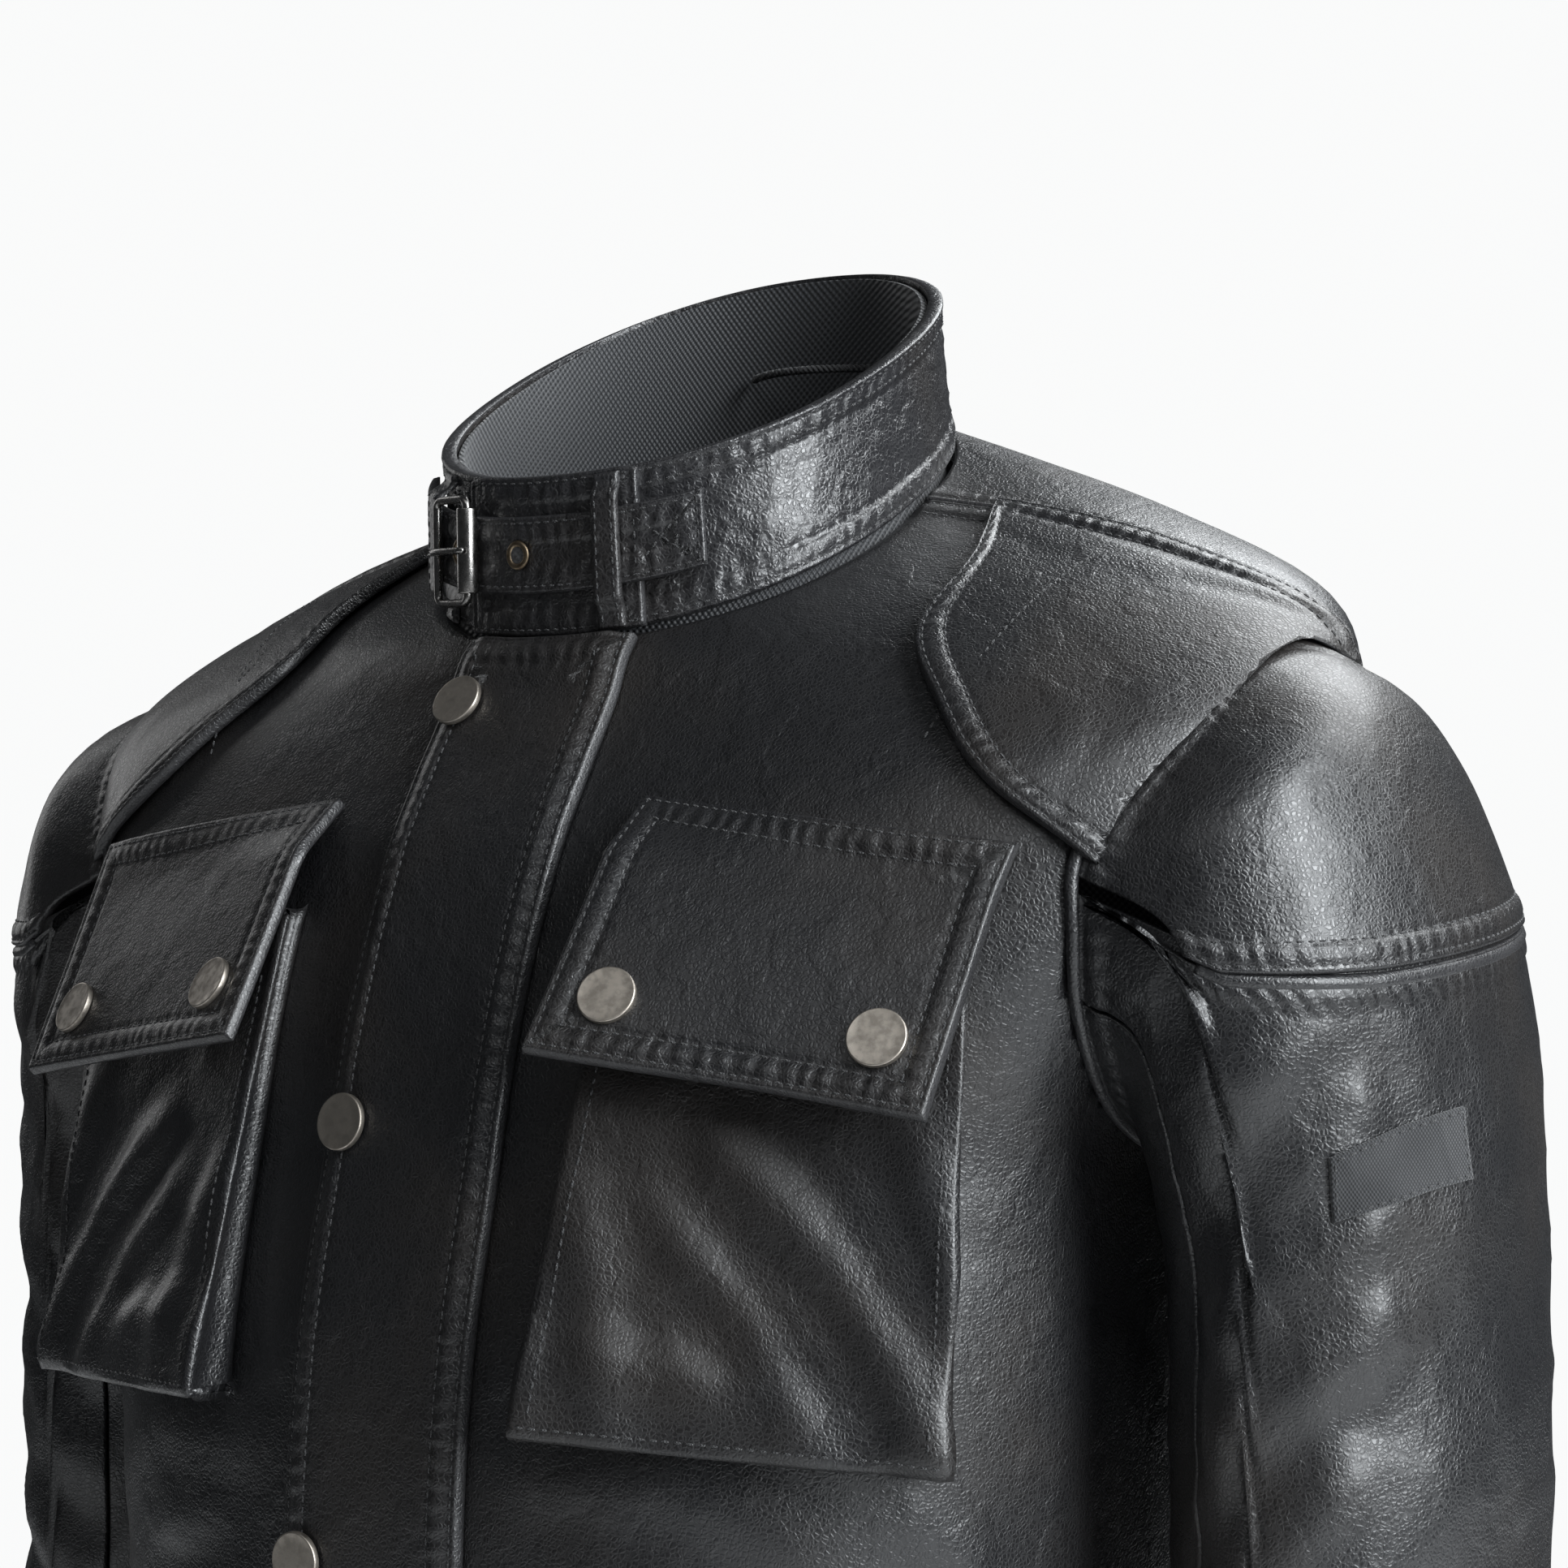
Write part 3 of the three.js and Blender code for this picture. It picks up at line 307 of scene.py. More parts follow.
def sleeve_point(s: Array, degrees: Array) -> Array:
    """Points of the left sleeve: 0 degrees is its outside, 90 its back.

    Args:
        s: stations.
        degrees: angles.

    Returns:
        Points in millimetres.
    """
    s, degrees = np.broadcast_arrays(np.asarray(s, float), np.asarray(degrees, float))
    shape = s.shape
    s, degrees = s.ravel(), degrees.ravel()
    turn = np.mod(degrees, 360)
    first = np.stack([np.interp(turn, np.arange(361), ARMHOLE_RING[:, k]) for k in range(3)], -1)
    sin, cos = np.sin(np.radians(degrees)), np.cos(np.radians(degrees))
    rings = [first]
    for inner_x, inner_z, outer_x, outer_z, y, wide in SLEEVE:
        x = (outer_x + inner_x) / 2 + cos * (outer_x - inner_x) / 2
        z = (outer_z + inner_z) / 2 + cos * (outer_z - inner_z) / 2
        rings.append(np.stack([x, y + wide * sin, z], -1))
    table = np.stack(rings)
    table = np.concatenate([2 * table[:1] - table[1:2], table, 2 * table[-1:] - table[-2:-1]])
    k = np.clip(np.floor(s).astype(int), 0, len(rings) - 2)
    t = (s - k)[:, None]
    a, b, c, d = (table[k + m, np.arange(len(s))] for m in range(4))
    slope_in, slope_out = (c - a) / 2, (d - b) / 2
    cubic = 2 * (b - c) + slope_in + slope_out
    square = 3 * (c - b) - 2 * slope_in - slope_out
    return (((cubic * t + square) * t + slope_in) * t + b).reshape(*shape, 3)


def cap_height(s: Array, degrees: Array) -> Array:
    """Height of the sleeve's surface above the seam at the foot of the cap.

    Args:
        s: stations.
        degrees: angles.

    Returns:
        Heights in millimetres.
    """
    p = sleeve_point(s, degrees)
    line = np.interp(p[..., 0], CAP_LINE[:, 0], CAP_LINE[:, 1])
    return p[..., 2] - line - CAP_RISE * (p[..., 1] + 45)


def cap_station(degrees: Array) -> Array:
    """Station where the cap's foot seam crosses each angle, 0 where the cap is absent.

    Args:
        degrees: angles.

    Returns:
        Stations.
    """
    low = np.zeros(np.shape(degrees))
    high = np.full(np.shape(degrees), 5.0)
    for _ in range(20):
        middle = (low + high) / 2
        above = cap_height(middle, degrees) > 0
        low, high = np.where(above, middle, low), np.where(above, high, middle)
    return np.where(cap_height(np.zeros(np.shape(degrees)), degrees) > 0, low, 0.0)


def sleeve_middle(s: Array) -> Array:
    """Middle of the left sleeve at stations."""
    return (sleeve_point(s, 0.0 * np.asarray(s)) + sleeve_point(s, 180.0 + 0 * np.asarray(s))) / 2


@dataclass(frozen=True)
class Neck:
    """Stand collar's form: an oval wall that leans forward and tapers."""

    width: float = 77
    front: float = 72
    back: float = 76
    power: float = 2.2
    tilt: float = 0.55
    z: float = 661
    height: float = 49
    lean: float = 5
    taper: float = 0.035

    def point(self, v: Array, degrees: Array) -> Array:
        """Points of the collar at heights 0 to 1, at angles from the front.

        Args:
            v: heights, from 0 to 1.
            degrees: angles.

        Returns:
            Points in millimetres.
        """
        v, degrees = np.broadcast_arrays(np.asarray(v, float), np.asarray(degrees, float))
        sin, cos = np.sin(np.radians(degrees)), np.cos(np.radians(degrees))
        depth = np.where(cos > 0, self.front, self.back)
        total = np.abs(sin / self.width) ** self.power + np.abs(cos / depth) ** self.power
        r = (1 - self.taper * v) * total ** (-1 / self.power)
        y = -r * cos - self.lean * v
        return np.stack([r * sin, y, self.z + self.tilt * y + self.height * v], -1)


NECK = Neck()


def angle_at_x(s: Array, x: Array) -> Array:
    """Angle at which the body's front is at x, at stations."""
    return np.degrees(np.arctan2(x, along(BODY, s)[..., 2]))


# ---------------------------------------------------------------- folds and creases
@dataclass(frozen=True)
class Fold:
    """Soft ridge between two points of a surface, with a hollow beside it."""

    start: tuple[float, float]
    end: tuple[float, float]
    width: float
    height: float


def fold_relief(points: Array, folds: Sequence[Fold], place: Callable) -> Array:
    """Height that folds add to points.

    Args:
        points: surface points.
        folds: folds in the surface's own two coordinates.
        place: turns two arrays of those coordinates into points.

    Returns:
        Height at each point.
    """
    total = np.zeros(points.shape[:-1])
    for fold in folds:
        ends = place(np.array([fold.start[0], fold.end[0]]), np.array([fold.start[1], fold.end[1]]))
        run = ends[1] - ends[0]
        t = np.clip((points - ends[0]) @ run / (run @ run), 0, 1)
        bow = 0.1 * np.sin(np.pi * t)[..., None] * np.array([0, 0, np.linalg.norm(run)])
        gap = np.linalg.norm(points - ends[0] - t[..., None] * run - bow, axis=-1) / fold.width
        fade = 0.3 + 0.7 * np.sin(np.pi * np.clip(t, 0.03, 0.97))
        total += fold.height * fade * (np.exp(-gap ** 2) - 0.45 * np.exp(-((gap - 1.9) / 0.9) ** 2))
    return total


def creases(points: Array, size: float, height: float, seed: int, waves: int = 7) -> Array:
    """Fine irregular ridges, from a few crossing waves.

    Args:
        points: surface points.
        size: distance between ridges.
        height: height of a ridge.
        seed: seed of the directions.
        waves: number of waves.

    Returns:
        Height at each point.
    """
    rng = np.random.default_rng(seed)
    bend = np.sin(points / (size * 2.3) + rng.uniform(0, 6, 3)) * size * 0.7
    total = np.zeros(points.shape[:-1])
    for _ in range(waves):
        direction = unit(rng.normal(size=3)) * math.pi / (size * rng.uniform(0.7, 1.6))
        wave = 1 - np.abs(np.sin((points + bend) @ direction + rng.uniform(0, 6)))
        total += wave ** 3
    return height * (total / waves - 0.2)


def bell(distance: Array, middle: float, width: float) -> Array:
    """Bell of height 1 about a distance."""
    return np.exp(-((distance - middle) / width) ** 2)


def seam_relief(distance: Array, proud: float = 0.9) -> Array:
    """Height beside a sewn edge: a raised welt pulled down along its two rows of stitches.

    Args:
        distance: distances from the edge.
        proud: height of the welt.

    Returns:
        Heights in millimetres.
    """
    welt = proud * (1 / (1 + np.exp((distance - STITCH_ROWS[1]) / 0.9)))
    dips = 0.45 * bell(distance, STITCH_ROWS[0], 0.9) + 0.6 * bell(distance, STITCH_ROWS[1], 1.1)
    return welt - dips


# ---------------------------------------------------------------- meshes
class Edge(Enum):
    """Sides of a sheet: first and last rows, first and last columns."""

    LOW = 0
    HIGH = 1
    FIRST = 2
    LAST = 3


def stops(length: float, step: float, low: bool = True, high: bool = True) -> Array:
    """Shares of a length at which a sheet has its rows, closer together near sewn edges.

    Args:
        length: length in millimetres.
        step: spacing away from the edges.
        low: whether the start has close rows.
        high: whether the end has close rows.

    Returns:
        Rising shares from 0 to 1.
    """
    near = np.array([0, 0.3, 0.8, 1.5, 2.3, 3.1, 4.2, 5.6, 7, 8, 8.8, 9.7, 11, 13])
    near = near[near < length * 0.42]
    start = near if low else near[:1]
    end = length - (near if high else near[:1])[::-1]
    count = max(2, round((end[0] - start[-1]) / step))
    middle = np.linspace(start[-1], end[0], count + 1)[1:-1]
    return np.concatenate([start, middle, end]) / length


def wake() -> None:
    """Leaves edit mode with nothing selected."""
    if bpy.context.object and bpy.context.object.mode != "OBJECT":
        bpy.ops.object.mode_set(mode="OBJECT")
    bpy.ops.object.select_all(action="DESELECT")


def apply_modifier(obj: bpy.types.Object, kind: str, **settings: object) -> None:
    """Adds a modifier with settings and applies it.

    Args:
        obj: the object.
        kind: type of the modifier.
        settings: settings of the modifier.
    """
    wake()
    obj.select_set(True)
    bpy.context.view_layer.objects.active = obj
    modifier = obj.modifiers.new(kind.lower(), kind)
    for key, value in settings.items():
        setattr(modifier, key, value)
    bpy.ops.object.modifier_apply(modifier=modifier.name)


def corners(obj: bpy.types.Object) -> Array:
    """An object's vertices.

    Args:
        obj: the object.

    Returns:
        Array of places in metres.
    """
    co = np.empty(len(obj.data.vertices) * 3)
    obj.data.vertices.foreach_get("co", co)
    return co.reshape(-1, 3)


def set_corners(obj: bpy.types.Object, co: Array) -> None:
    """Moves an object's vertices."""
    obj.data.vertices.foreach_set("co", np.ascontiguousarray(co, dtype=float).ravel())
    obj.data.update()


def face_out(obj: bpy.types.Object) -> None:
    """Turns a closed mesh's faces outwards and shades it smooth.

    Args:
        obj: the object.
    """
    mesh = obj.data
    mesh.calc_loop_triangles()
    index = np.empty(len(mesh.loop_triangles) * 3, dtype=int)
    mesh.loop_triangles.foreach_get("vertices", index)
    a, b, c = np.moveaxis(corners(obj)[index.reshape(-1, 3)], 1, 0)
    if np.einsum("ij,ij->", a, np.cross(b, c)) < 0:
        mesh.flip_normals()
    mesh.shade_smooth()


def cumulative(points: Array, axis: int) -> Array:
    """Distance travelled along one axis of a grid of points.

    Args:
        points: points.
        axis: axis of the grid.

    Returns:
        Distances, 0 at the start.
    """
    steps = np.linalg.norm(np.diff(points, axis=axis), axis=-1)
    pad = [(0, 0), (0, 0)]
    pad[axis] = (1, 0)
    return np.pad(np.cumsum(steps, axis=axis), pad)


def grid_normals(points: Array, centre: Array) -> Array:
    """Unit normals of a grid of points that face away from a centre.

    Args:
        points: points.
        centre: point or points behind the surface.

    Returns:
        Unit vectors.
    """
    normal = unit(np.cross(np.gradient(points, axis=0), np.gradient(points, axis=1)))
    facing = np.einsum("ijk,ijk->", normal, points - centre)
    return normal if facing > 0 else -normal


@dataclass
class Sheet:
    """Piece of leather or cloth laid on a form, as rows and columns of points."""

    name: str
    points: Array
    centre: Array
    inner: float | Array
    outer: float | Array
    sewn: Sequence[Edge] = ()
    relief: float | Array = 0.0
    welt: float = 0.9
    rim: float = 1.0
    distance: Array = field(init=False)
    front: Array = field(init=False)
    normal: Array = field(init=False)

    def __post_init__(self) -> None:
        """Works out distances from the edges, and the outer face."""
        self.normal = grid_normals(self.points, self.centre)
        down, across = cumulative(self.points, 0), cumulative(self.points, 1)
        ends = [down, down[-1:] - down, across, across[:, -1:] - across]
        self.sides = {edge: ends[edge.value] for edge in Edge}
        self.distance = np.min([self.sides[e] for e in self.sewn] + [down * 0 + 40], axis=0)
        outermost = np.min(ends, axis=0)
        thick = np.asarray(self.outer) - np.asarray(self.inner)
        closing = 1 - np.sqrt(np.clip(1 - (1 - np.clip(outermost / self.rim, 0, 1)) ** 2, 0, 1))
        height = self.outer + self.relief + seam_relief(self.distance, self.welt)
        self.height = height - closing * (thick - 0.3)
        self.front = self.points + self.normal * self.height[..., None]

    def run(self) -> Array:
        """Distance along the nearest sewn edge.

        Returns:
            Distances in millimetres.
        """
        across, down = cumulative(self.points, 1), cumulative(self.points, 0)
        best = np.argmin([self.sides[e] for e in self.sewn] or [across * 0], axis=0)
        lengthways = [across if e in (Edge.LOW, Edge.HIGH) else down for e in self.sewn]
        return np.choose(best, lengthways) if lengthways else across

    def build(self, side: float = 1.0) -> bpy.types.Object:
        """Makes the closed mesh, from a grid with a wall, on the form.

        Args:
            side: -1 mirrors it to the wearer's right.

        Returns:
            The new object.
        """
        rows, columns = self.points.shape[:2]
        wake()
        bpy.ops.mesh.primitive_grid_add(
            x_subdivisions=columns - 1, y_subdivisions=rows - 1, size=2
        )
        obj = bpy.context.object
        obj.name = self.name
        apply_modifier(obj, "SOLIDIFY", thickness=0.1, offset=-1)
        flat = corners(obj)
        i = np.rint((flat[:, 1] + 1) / 2 * (rows - 1)).astype(int)
        j = np.rint((flat[:, 0] + 1) / 2 * (columns - 1)).astype(int)
        under = flat[:, 2] < -0.01
        low = np.broadcast_to(np.asarray(self.inner + self.relief, float), (rows, columns))
        back = self.points + self.normal * low[..., None]
        place = np.where(under[:, None], back[i, j], self.front[i, j]) * MM
        place[:, 0] *= side
        set_corners(obj, place)
        for title, values in (("edge", self.distance), ("run", self.run())):
            layer = obj.data.attributes.new(title, "FLOAT", "POINT")
            layer.data.foreach_set("value", (values[i, j] * MM).astype(np.float32))
        face_out(obj)
        return obj

    def row(self, edge: Edge, inset: float, trim: tuple[float, float] = (0, 0)) -> tuple:
        """Line on the outer face at a distance from one edge.

        Args:
            edge: the edge that the line follows.
            inset: distance from it.
            trim: lengths left off at the line's two ends.

        Returns:
            Points and normals.
        """
        axis = 0 if edge in (Edge.LOW, Edge.HIGH) else 1
        face = np.moveaxis(self.front, axis, 0)
        normal = np.moveaxis(self.normal, axis, 0)
        away = np.moveaxis(self.sides[edge], axis, 0)
        if edge in (Edge.HIGH, Edge.LAST):
            face, normal, away = face[::-1], normal[::-1], away[::-1]
        line, up = [], []
        for k in range(face.shape[1]):
            if away[-1, k] < inset:
                continue
            line.append([np.interp(inset, away[:, k], face[:, k, c]) for c in range(3)])
            up.append([np.interp(inset, away[:, k], normal[:, k, c]) for c in range(3)])
        line, up = np.array(line), np.array(up)
        far = np.concatenate([[0], np.cumsum(np.linalg.norm(np.diff(line, axis=0), axis=1))])
        keep = (far >= trim[0]) & (far <= far[-1] - trim[1])
        return line[keep], up[keep]


@dataclass
class Thread:
    """Rows of lock stitches that are gathered into one piece."""

    name: str
    places: list = field(default_factory=list)

    def sew(self, line: Array, up: Array, side: float = 1.0, pitch: float = STITCH_PITCH) -> None:
        """Adds stitches along a line.

        Args:
            line: points of the line.
            up: outward normals at those points.
            side: -1 mirrors them.
            pitch: length of one stitch with its gap.
        """
        if len(line) < 2:
            return
        far = np.concatenate([[0], np.cumsum(np.linalg.norm(np.diff(line, axis=0), axis=1))])
        count = max(1, int(far[-1] / pitch))
        at = (np.arange(count) + 0.5) * far[-1] / count
        mid = np.stack([np.interp(at, far, line[:, c]) for c in range(3)], -1)
        ahead = np.stack([np.interp(at + 0.6, far, line[:, c]) for c in range(3)], -1)
        behind = np.stack([np.interp(at - 0.6, far, line[:, c]) for c in range(3)], -1)
        normal = unit(np.stack([np.interp(at, far, up[:, c]) for c in range(3)], -1))
        tangent = unit(ahead - behind)
        mirror = np.array([side, 1, 1])
        self.places.append((mid * mirror, tangent * mirror, normal * mirror))

    def sew_edges(self, sheet: Sheet, edges: Sequence[Edge], side: float = 1.0,
                  rows: Sequence[float] = STITCH_ROWS, trim: float | None = None) -> None:
        """Sews rows along edges of a sheet.

        Args:
            sheet: the sheet.
            edges: edges to follow.
            side: -1 mirrors them.
            rows: distances from the edge.
            trim: length left off at both ends, or None for each row's own distance.
        """
        for edge in edges:
            for inset in rows:
                cut = inset if trim is None else trim
                self.sew(*sheet.row(edge, inset, (cut, cut)), side)

    def build(self, shape: tuple[float, float, float] = (1.15, 0.36, 0.3)) -> bpy.types.Object:
        """Makes one mesh of all the stitches.

        Args:
            shape: half length, half width and half height of a stitch.

        Returns:
            The new object.
        """
        wake()
        bpy.ops.mesh.primitive_uv_sphere_add(segments=6, ring_count=4, radius=1)
        seed = bpy.context.object
        local = corners(seed) * np.array(shape)
        faces = [tuple(p.vertices) for p in seed.data.polygons]
        bpy.data.objects.remove(seed)
        mid, tangent, normal = (np.concatenate(column) for column in zip(*self.places))
        across = unit(np.cross(normal, tangent))
        basis = np.stack([tangent, across, normal], 1)
        everywhere = np.einsum("vk,nkc->nvc", local, basis) + mid[:, None]
        mesh = bpy.data.meshes.new(self.name)
        count = len(local)
        table = [tuple(v + n * count for v in f) for n in range(len(mid)) for f in faces]
        mesh.from_pydata((everywhere.reshape(-1, 3) * MM).tolist(), [], table)
        obj = bpy.data.objects.new(self.name, mesh)
        bpy.context.scene.collection.objects.link(obj)
        face_out(obj)
        return obj


def keep_largest(obj: bpy.types.Object) -> bpy.types.Object:
    """Drops all but the largest loose part of a mesh.

    Args:
        obj: the object.

    Returns:
        The same object.
    """
    wake()
    obj.select_set(True)
    bpy.context.view_layer.objects.active = obj
    name = obj.name
    bpy.ops.mesh.separate(type="LOOSE")
    parts = sorted(bpy.context.selected_objects, key=lambda o: -len(o.data.vertices))
    for scrap in parts[1:]:
        bpy.data.objects.remove(scrap)
    parts[0].name = name
    return parts[0]


def cut_armhole(obj: bpy.types.Object, side: float, grow: float = 0) -> bpy.types.Object:
    """Cuts the armhole's oval tube out of a piece.

    Args:
        obj: closed mesh to cut.
        side: -1 for the wearer's right.
        grow: how much wider the tube is.

    Returns:
        The piece.
    """
    sides = 120
    wake()
    bpy.ops.mesh.primitive_cylinder_add(vertices=sides, radius=1, depth=2)
    tube = bpy.context.object
    raw = corners(tube)
    share = ARMHOLE.shares(np.degrees(np.arctan2(raw[:, 0], raw[:, 1])))
    reach = np.where(raw[:, 2] > 0, 90.0, -70.0)[:, None]
    place = np.array(ARMHOLE.centre) + reach * np.array(ARMHOLE.out)
    place = place + share[:, 1:] * (ARMHOLE.tall + grow) * np.array(ARMHOLE.up)
    place = place + share[:, :1] * (ARMHOLE.wide + grow) * np.array([0, 1, 0])
    place[:, 0] *= side
    set_corners(tube, place * MM)
    face_out(tube)
    apply_modifier(obj, "BOOLEAN", operation="DIFFERENCE", object=tube, solver="EXACT")
    bpy.data.objects.remove(tube)
    return obj


# ---------------------------------------------------------------- finishes
class Graph:
    """Node tree of one material."""

    def __init__(self, name: str) -> None:
        """Starts a material with a shader and object coordinates.

        Args:
            name: name of the material.
        """
        self.material = bpy.data.materials.new(name)
        self.material.use_nodes = True
        self.tree = self.material.node_tree
        self.shader = self.tree.nodes["Principled BSDF"]
        self.place = self.node("ShaderNodeTexCoord").outputs["Object"]

    def node(self, kind: str, settings: dict | None = None, **inputs: object) -> bpy.types.Node:
        """Adds a node.

        Args:
            kind: its type.
            settings: its properties.
            inputs: values or sockets, by input name with underscores or as in0, in1.

        Returns:
            The node.
        """
        made = self.tree.nodes.new(kind)
        for key, value in (settings or {}).items():
            setattr(made, key, value)
        for key, value in inputs.items():
            numbered = key.startswith("in") and key[2:].isdigit()
            socket = made.inputs[int(key[2:])] if numbered else made.inputs[key.replace("_", " ")]
            if isinstance(value, bpy.types.NodeSocket):
                self.tree.links.new(value, socket)
            else:
                socket.default_value = value
        return made

    def math(self, operation: str, a: object, b: object = 0.0) -> bpy.types.NodeSocket:
        """Result of an arithmetic node."""
        return self.node("ShaderNodeMath", {"operation": operation}, in0=a, in1=b).outputs[0]

    def ramp(self, value: object, low: float, high: float, to_low: float = 0,
             to_high: float = 1) -> bpy.types.NodeSocket:
        """Value mapped smoothly from one range to another.

        Args:
            value: value.
            low: start of the range.
            high: end of the range.
            to_low: value at the start.
            to_high: value at the end.

        Returns:
            Socket of the value.
        """
        settings = {"interpolation_type": "SMOOTHSTEP"}
        made = self.node("ShaderNodeMapRange", settings, in0=value, in1=low, in2=high,
                         in3=to_low, in4=to_high)
        return made.outputs[0]

    def noise(self, scale: float, detail: float = 2, vector: object = None) -> bpy.types.NodeSocket:
        """Noise of about `scale` lumps in each metre."""
        vector = vector or self.place
        return self.node("ShaderNodeTexNoise", Vector=vector, Scale=scale, Detail=detail).outputs[0]

    def attribute(self, name: str) -> bpy.types.NodeSocket:
        """Number stored on the mesh."""
        return self.node("ShaderNodeAttribute", {"attribute_name": name}).outputs["Fac"]

    def mix(self, share: object, a: Sequence[float], b: Sequence[float]) -> bpy.types.NodeSocket:
        """Colour between two colours.

        Args:
            share: share of the second colour.
            a: first colour or socket.
            b: second colour.

        Returns:
            Socket of the colour.
        """
        made = self.node("ShaderNodeMix", {"data_type": "RGBA"})
        for index, value in ((0, share), (6, (*a, 1.0) if isinstance(a, tuple) else a),
                             (7, (*b, 1.0))):
            if isinstance(value, bpy.types.NodeSocket):
                self.tree.links.new(value, made.inputs[index])
            else:
                made.inputs[index].default_value = value
        return made.outputs[2]

    def bump(self, height: object, distance: float, under: object = None) -> bpy.types.NodeSocket:
        """Normal tilted by a height, over another normal.

        Args:
            height: height.
            distance: size of the relief in metres.
            under: normal below.

        Returns:
            Socket of the normal.
        """
        made = self.node("ShaderNodeBump", Height=height, Distance=distance, Strength=1.0)
        if under is not None:
            self.tree.links.new(under, made.inputs["Normal"])
        return made.outputs[0]

    def finish(self, **sockets: object) -> bpy.types.Material:
        """Sets the shader's sockets, with constants on the sockets themselves."""
        for key, value in sockets.items():
            socket = self.shader.inputs[key.replace("_", " ")]
            if isinstance(value, bpy.types.NodeSocket):
                self.tree.links.new(value, socket)
            else:
                socket.default_value = value
        return self.material


@dataclass(frozen=True)
class LeatherFinish:
    """Grained black cowhide, with puckers beside its stitches, and edges lighter both as rubbed wear and
    as painted highlight.
    """

    name: str
    base: tuple[float, float, float] = (0.0085, 0.0086, 0.0095)
    warm: tuple[float, float, float] = (0.0135, 0.0115, 0.0105)
    # lighter colour near sewn edges: rubbed wear, and also a painted edge highlight
    worn_and_highlight: tuple[float, float, float] = (0.032, 0.032, 0.034)
    roughness: float = 0.31
    grain: float = 760.0
    grain_depth: float = 0.000085
    crease_depth: float = 0.00024
    pucker_depth: float = 0.00022

    def material(self) -> bpy.types.Material:
        """Builds the node material.

        Returns:
            The material.
        """
        g = Graph(self.name)
        drift = g.node("ShaderNodeTexNoise", Vector=g.place, Scale=190.0, Detail=1.0).outputs[1]
        moved = g.node("ShaderNodeVectorMath", {"operation": "MULTIPLY_ADD"}, in0=drift,
                       in1=(0.0016, 0.0016, 0.0016), in2=g.place).outputs[0]
        cells = g.node("ShaderNodeTexVoronoi", {"feature": "DISTANCE_TO_EDGE"}, Vector=moved,
                       Scale=self.grain).outputs["Distance"]
        pebble = g.ramp(cells, 0.0, 0.3)
        fine = g.noise(2600.0, 1.0)
        mottle = g.noise(11.0, 3.0)
        streak = g.noise(75.0, 4.0, moved)
        wrinkle = g.math("ABSOLUTE", g.math("SUBTRACT", streak, 0.5))
        wrinkle = g.ramp(wrinkle, 0.0, 0.09)
        edge = g.attribute("edge")
        wave = g.math("MULTIPLY", g.attribute("run"), 2 * math.pi / 0.0058)
        wave = g.math("ADD", wave, g.math("MULTIPLY", g.noise(70.0, 1.0), 9.0))
        near = g.math("SUBTRACT", edge, 0.0058)
        near = g.math("DIVIDE", near, 0.0042)
        near = g.math("EXPONENT", g.math("MULTIPLY", g.math("MULTIPLY", near, near), -1.0))
        pucker = g.math("MULTIPLY", g.math("SINE", wave), near)
        normal = g.bump(pucker, self.pucker_depth)
        normal = g.bump(wrinkle, self.crease_depth * 0.45, normal)
        normal = g.bump(streak, self.crease_depth * 3, normal)
        normal = g.bump(g.math("ADD", pebble, g.math("MULTIPLY", fine, 0.35)), self.grain_depth, normal)
        # rubbed wear plus painted highlight: lighter colour within 1.4 mm of a sewn edge, patchy with the
        # mottle; pieces without an edge attribute get it all over
        rubbed_and_highlight = g.math("MULTIPLY", g.ramp(edge, 0.0, 0.0014, 1.0, 0.0), g.ramp(mottle, 0.3, 0.75))
        colour = g.mix(g.ramp(mottle, 0.42, 0.7), self.base, self.warm)
        colour = g.mix(rubbed_and_highlight, colour, self.worn_and_highlight)
        rough = g.math("ADD", g.ramp(mottle, 0.2, 0.8, self.roughness - 0.05, self.roughness + 0.1),
                       g.math("MULTIPLY", g.ramp(pebble, 0.0, 1.0, 1.0, 0.0), 0.16))
        return g.finish(Base_Color=colour, Roughness=rough, Normal=normal, Specular_IOR_Level=0.5,
                        Coat_Weight=0.22, Coat_Roughness=0.24)


@dataclass(frozen=True)
class MetalFinish:
    """Plated metal with a fine matt tooth and darker tarnish."""

    name: str
    base: tuple[float, float, float]
    tarnish: tuple[float, float, float]
    roughness: float

    def material(self) -> bpy.types.Material:
        """Builds the node material.

        Returns:
            The material.
        """
        g = Graph(self.name)
        cloud = g.noise(420.0, 4.0)
        tooth = g.noise(5200.0, 2.0)
        colour = g.mix(g.ramp(cloud, 0.36, 0.72), self.base, self.tarnish)
        rough = g.ramp(cloud, 0.25, 0.8, self.roughness - 0.07, self.roughness + 0.14)
        return g.finish(Base_Color=colour, Roughness=rough, Metallic=1.0,
                        Normal=g.bump(tooth, 0.00003))


@dataclass(frozen=True)
class ClothFinish:
    """Woven cloth: crossing threads, with a little sheen."""

    name: str
    base: tuple[float, float, float]
    light: tuple[float, float, float]
    pitch: float
    roughness: float = 0.8

    def material(self) -> bpy.types.Material:
        """Builds the node material.

        Returns:
            The material.
        """
        g = Graph(self.name)
        split = g.node("ShaderNodeSeparateXYZ", Vector=g.place)
        rate = math.pi / self.pitch
        warp = g.math("SINE", g.math("MULTIPLY", g.math("ADD", split.outputs[0], split.outputs[1]), rate))
        weft = g.math("SINE", g.math("MULTIPLY", split.outputs[2], rate))
        weave = g.math("MULTIPLY", warp, weft)
        fuzz = g.noise(900.0, 3.0)
        colour = g.mix(g.ramp(g.math("ADD", weave, fuzz), 0.1, 1.3), self.base, self.light)
        return g.finish(Base_Color=colour, Roughness=self.roughness, Sheen_Weight=0.25,
                        Sheen_Roughness=0.5, Normal=g.bump(weave, self.pitch * 0.18))


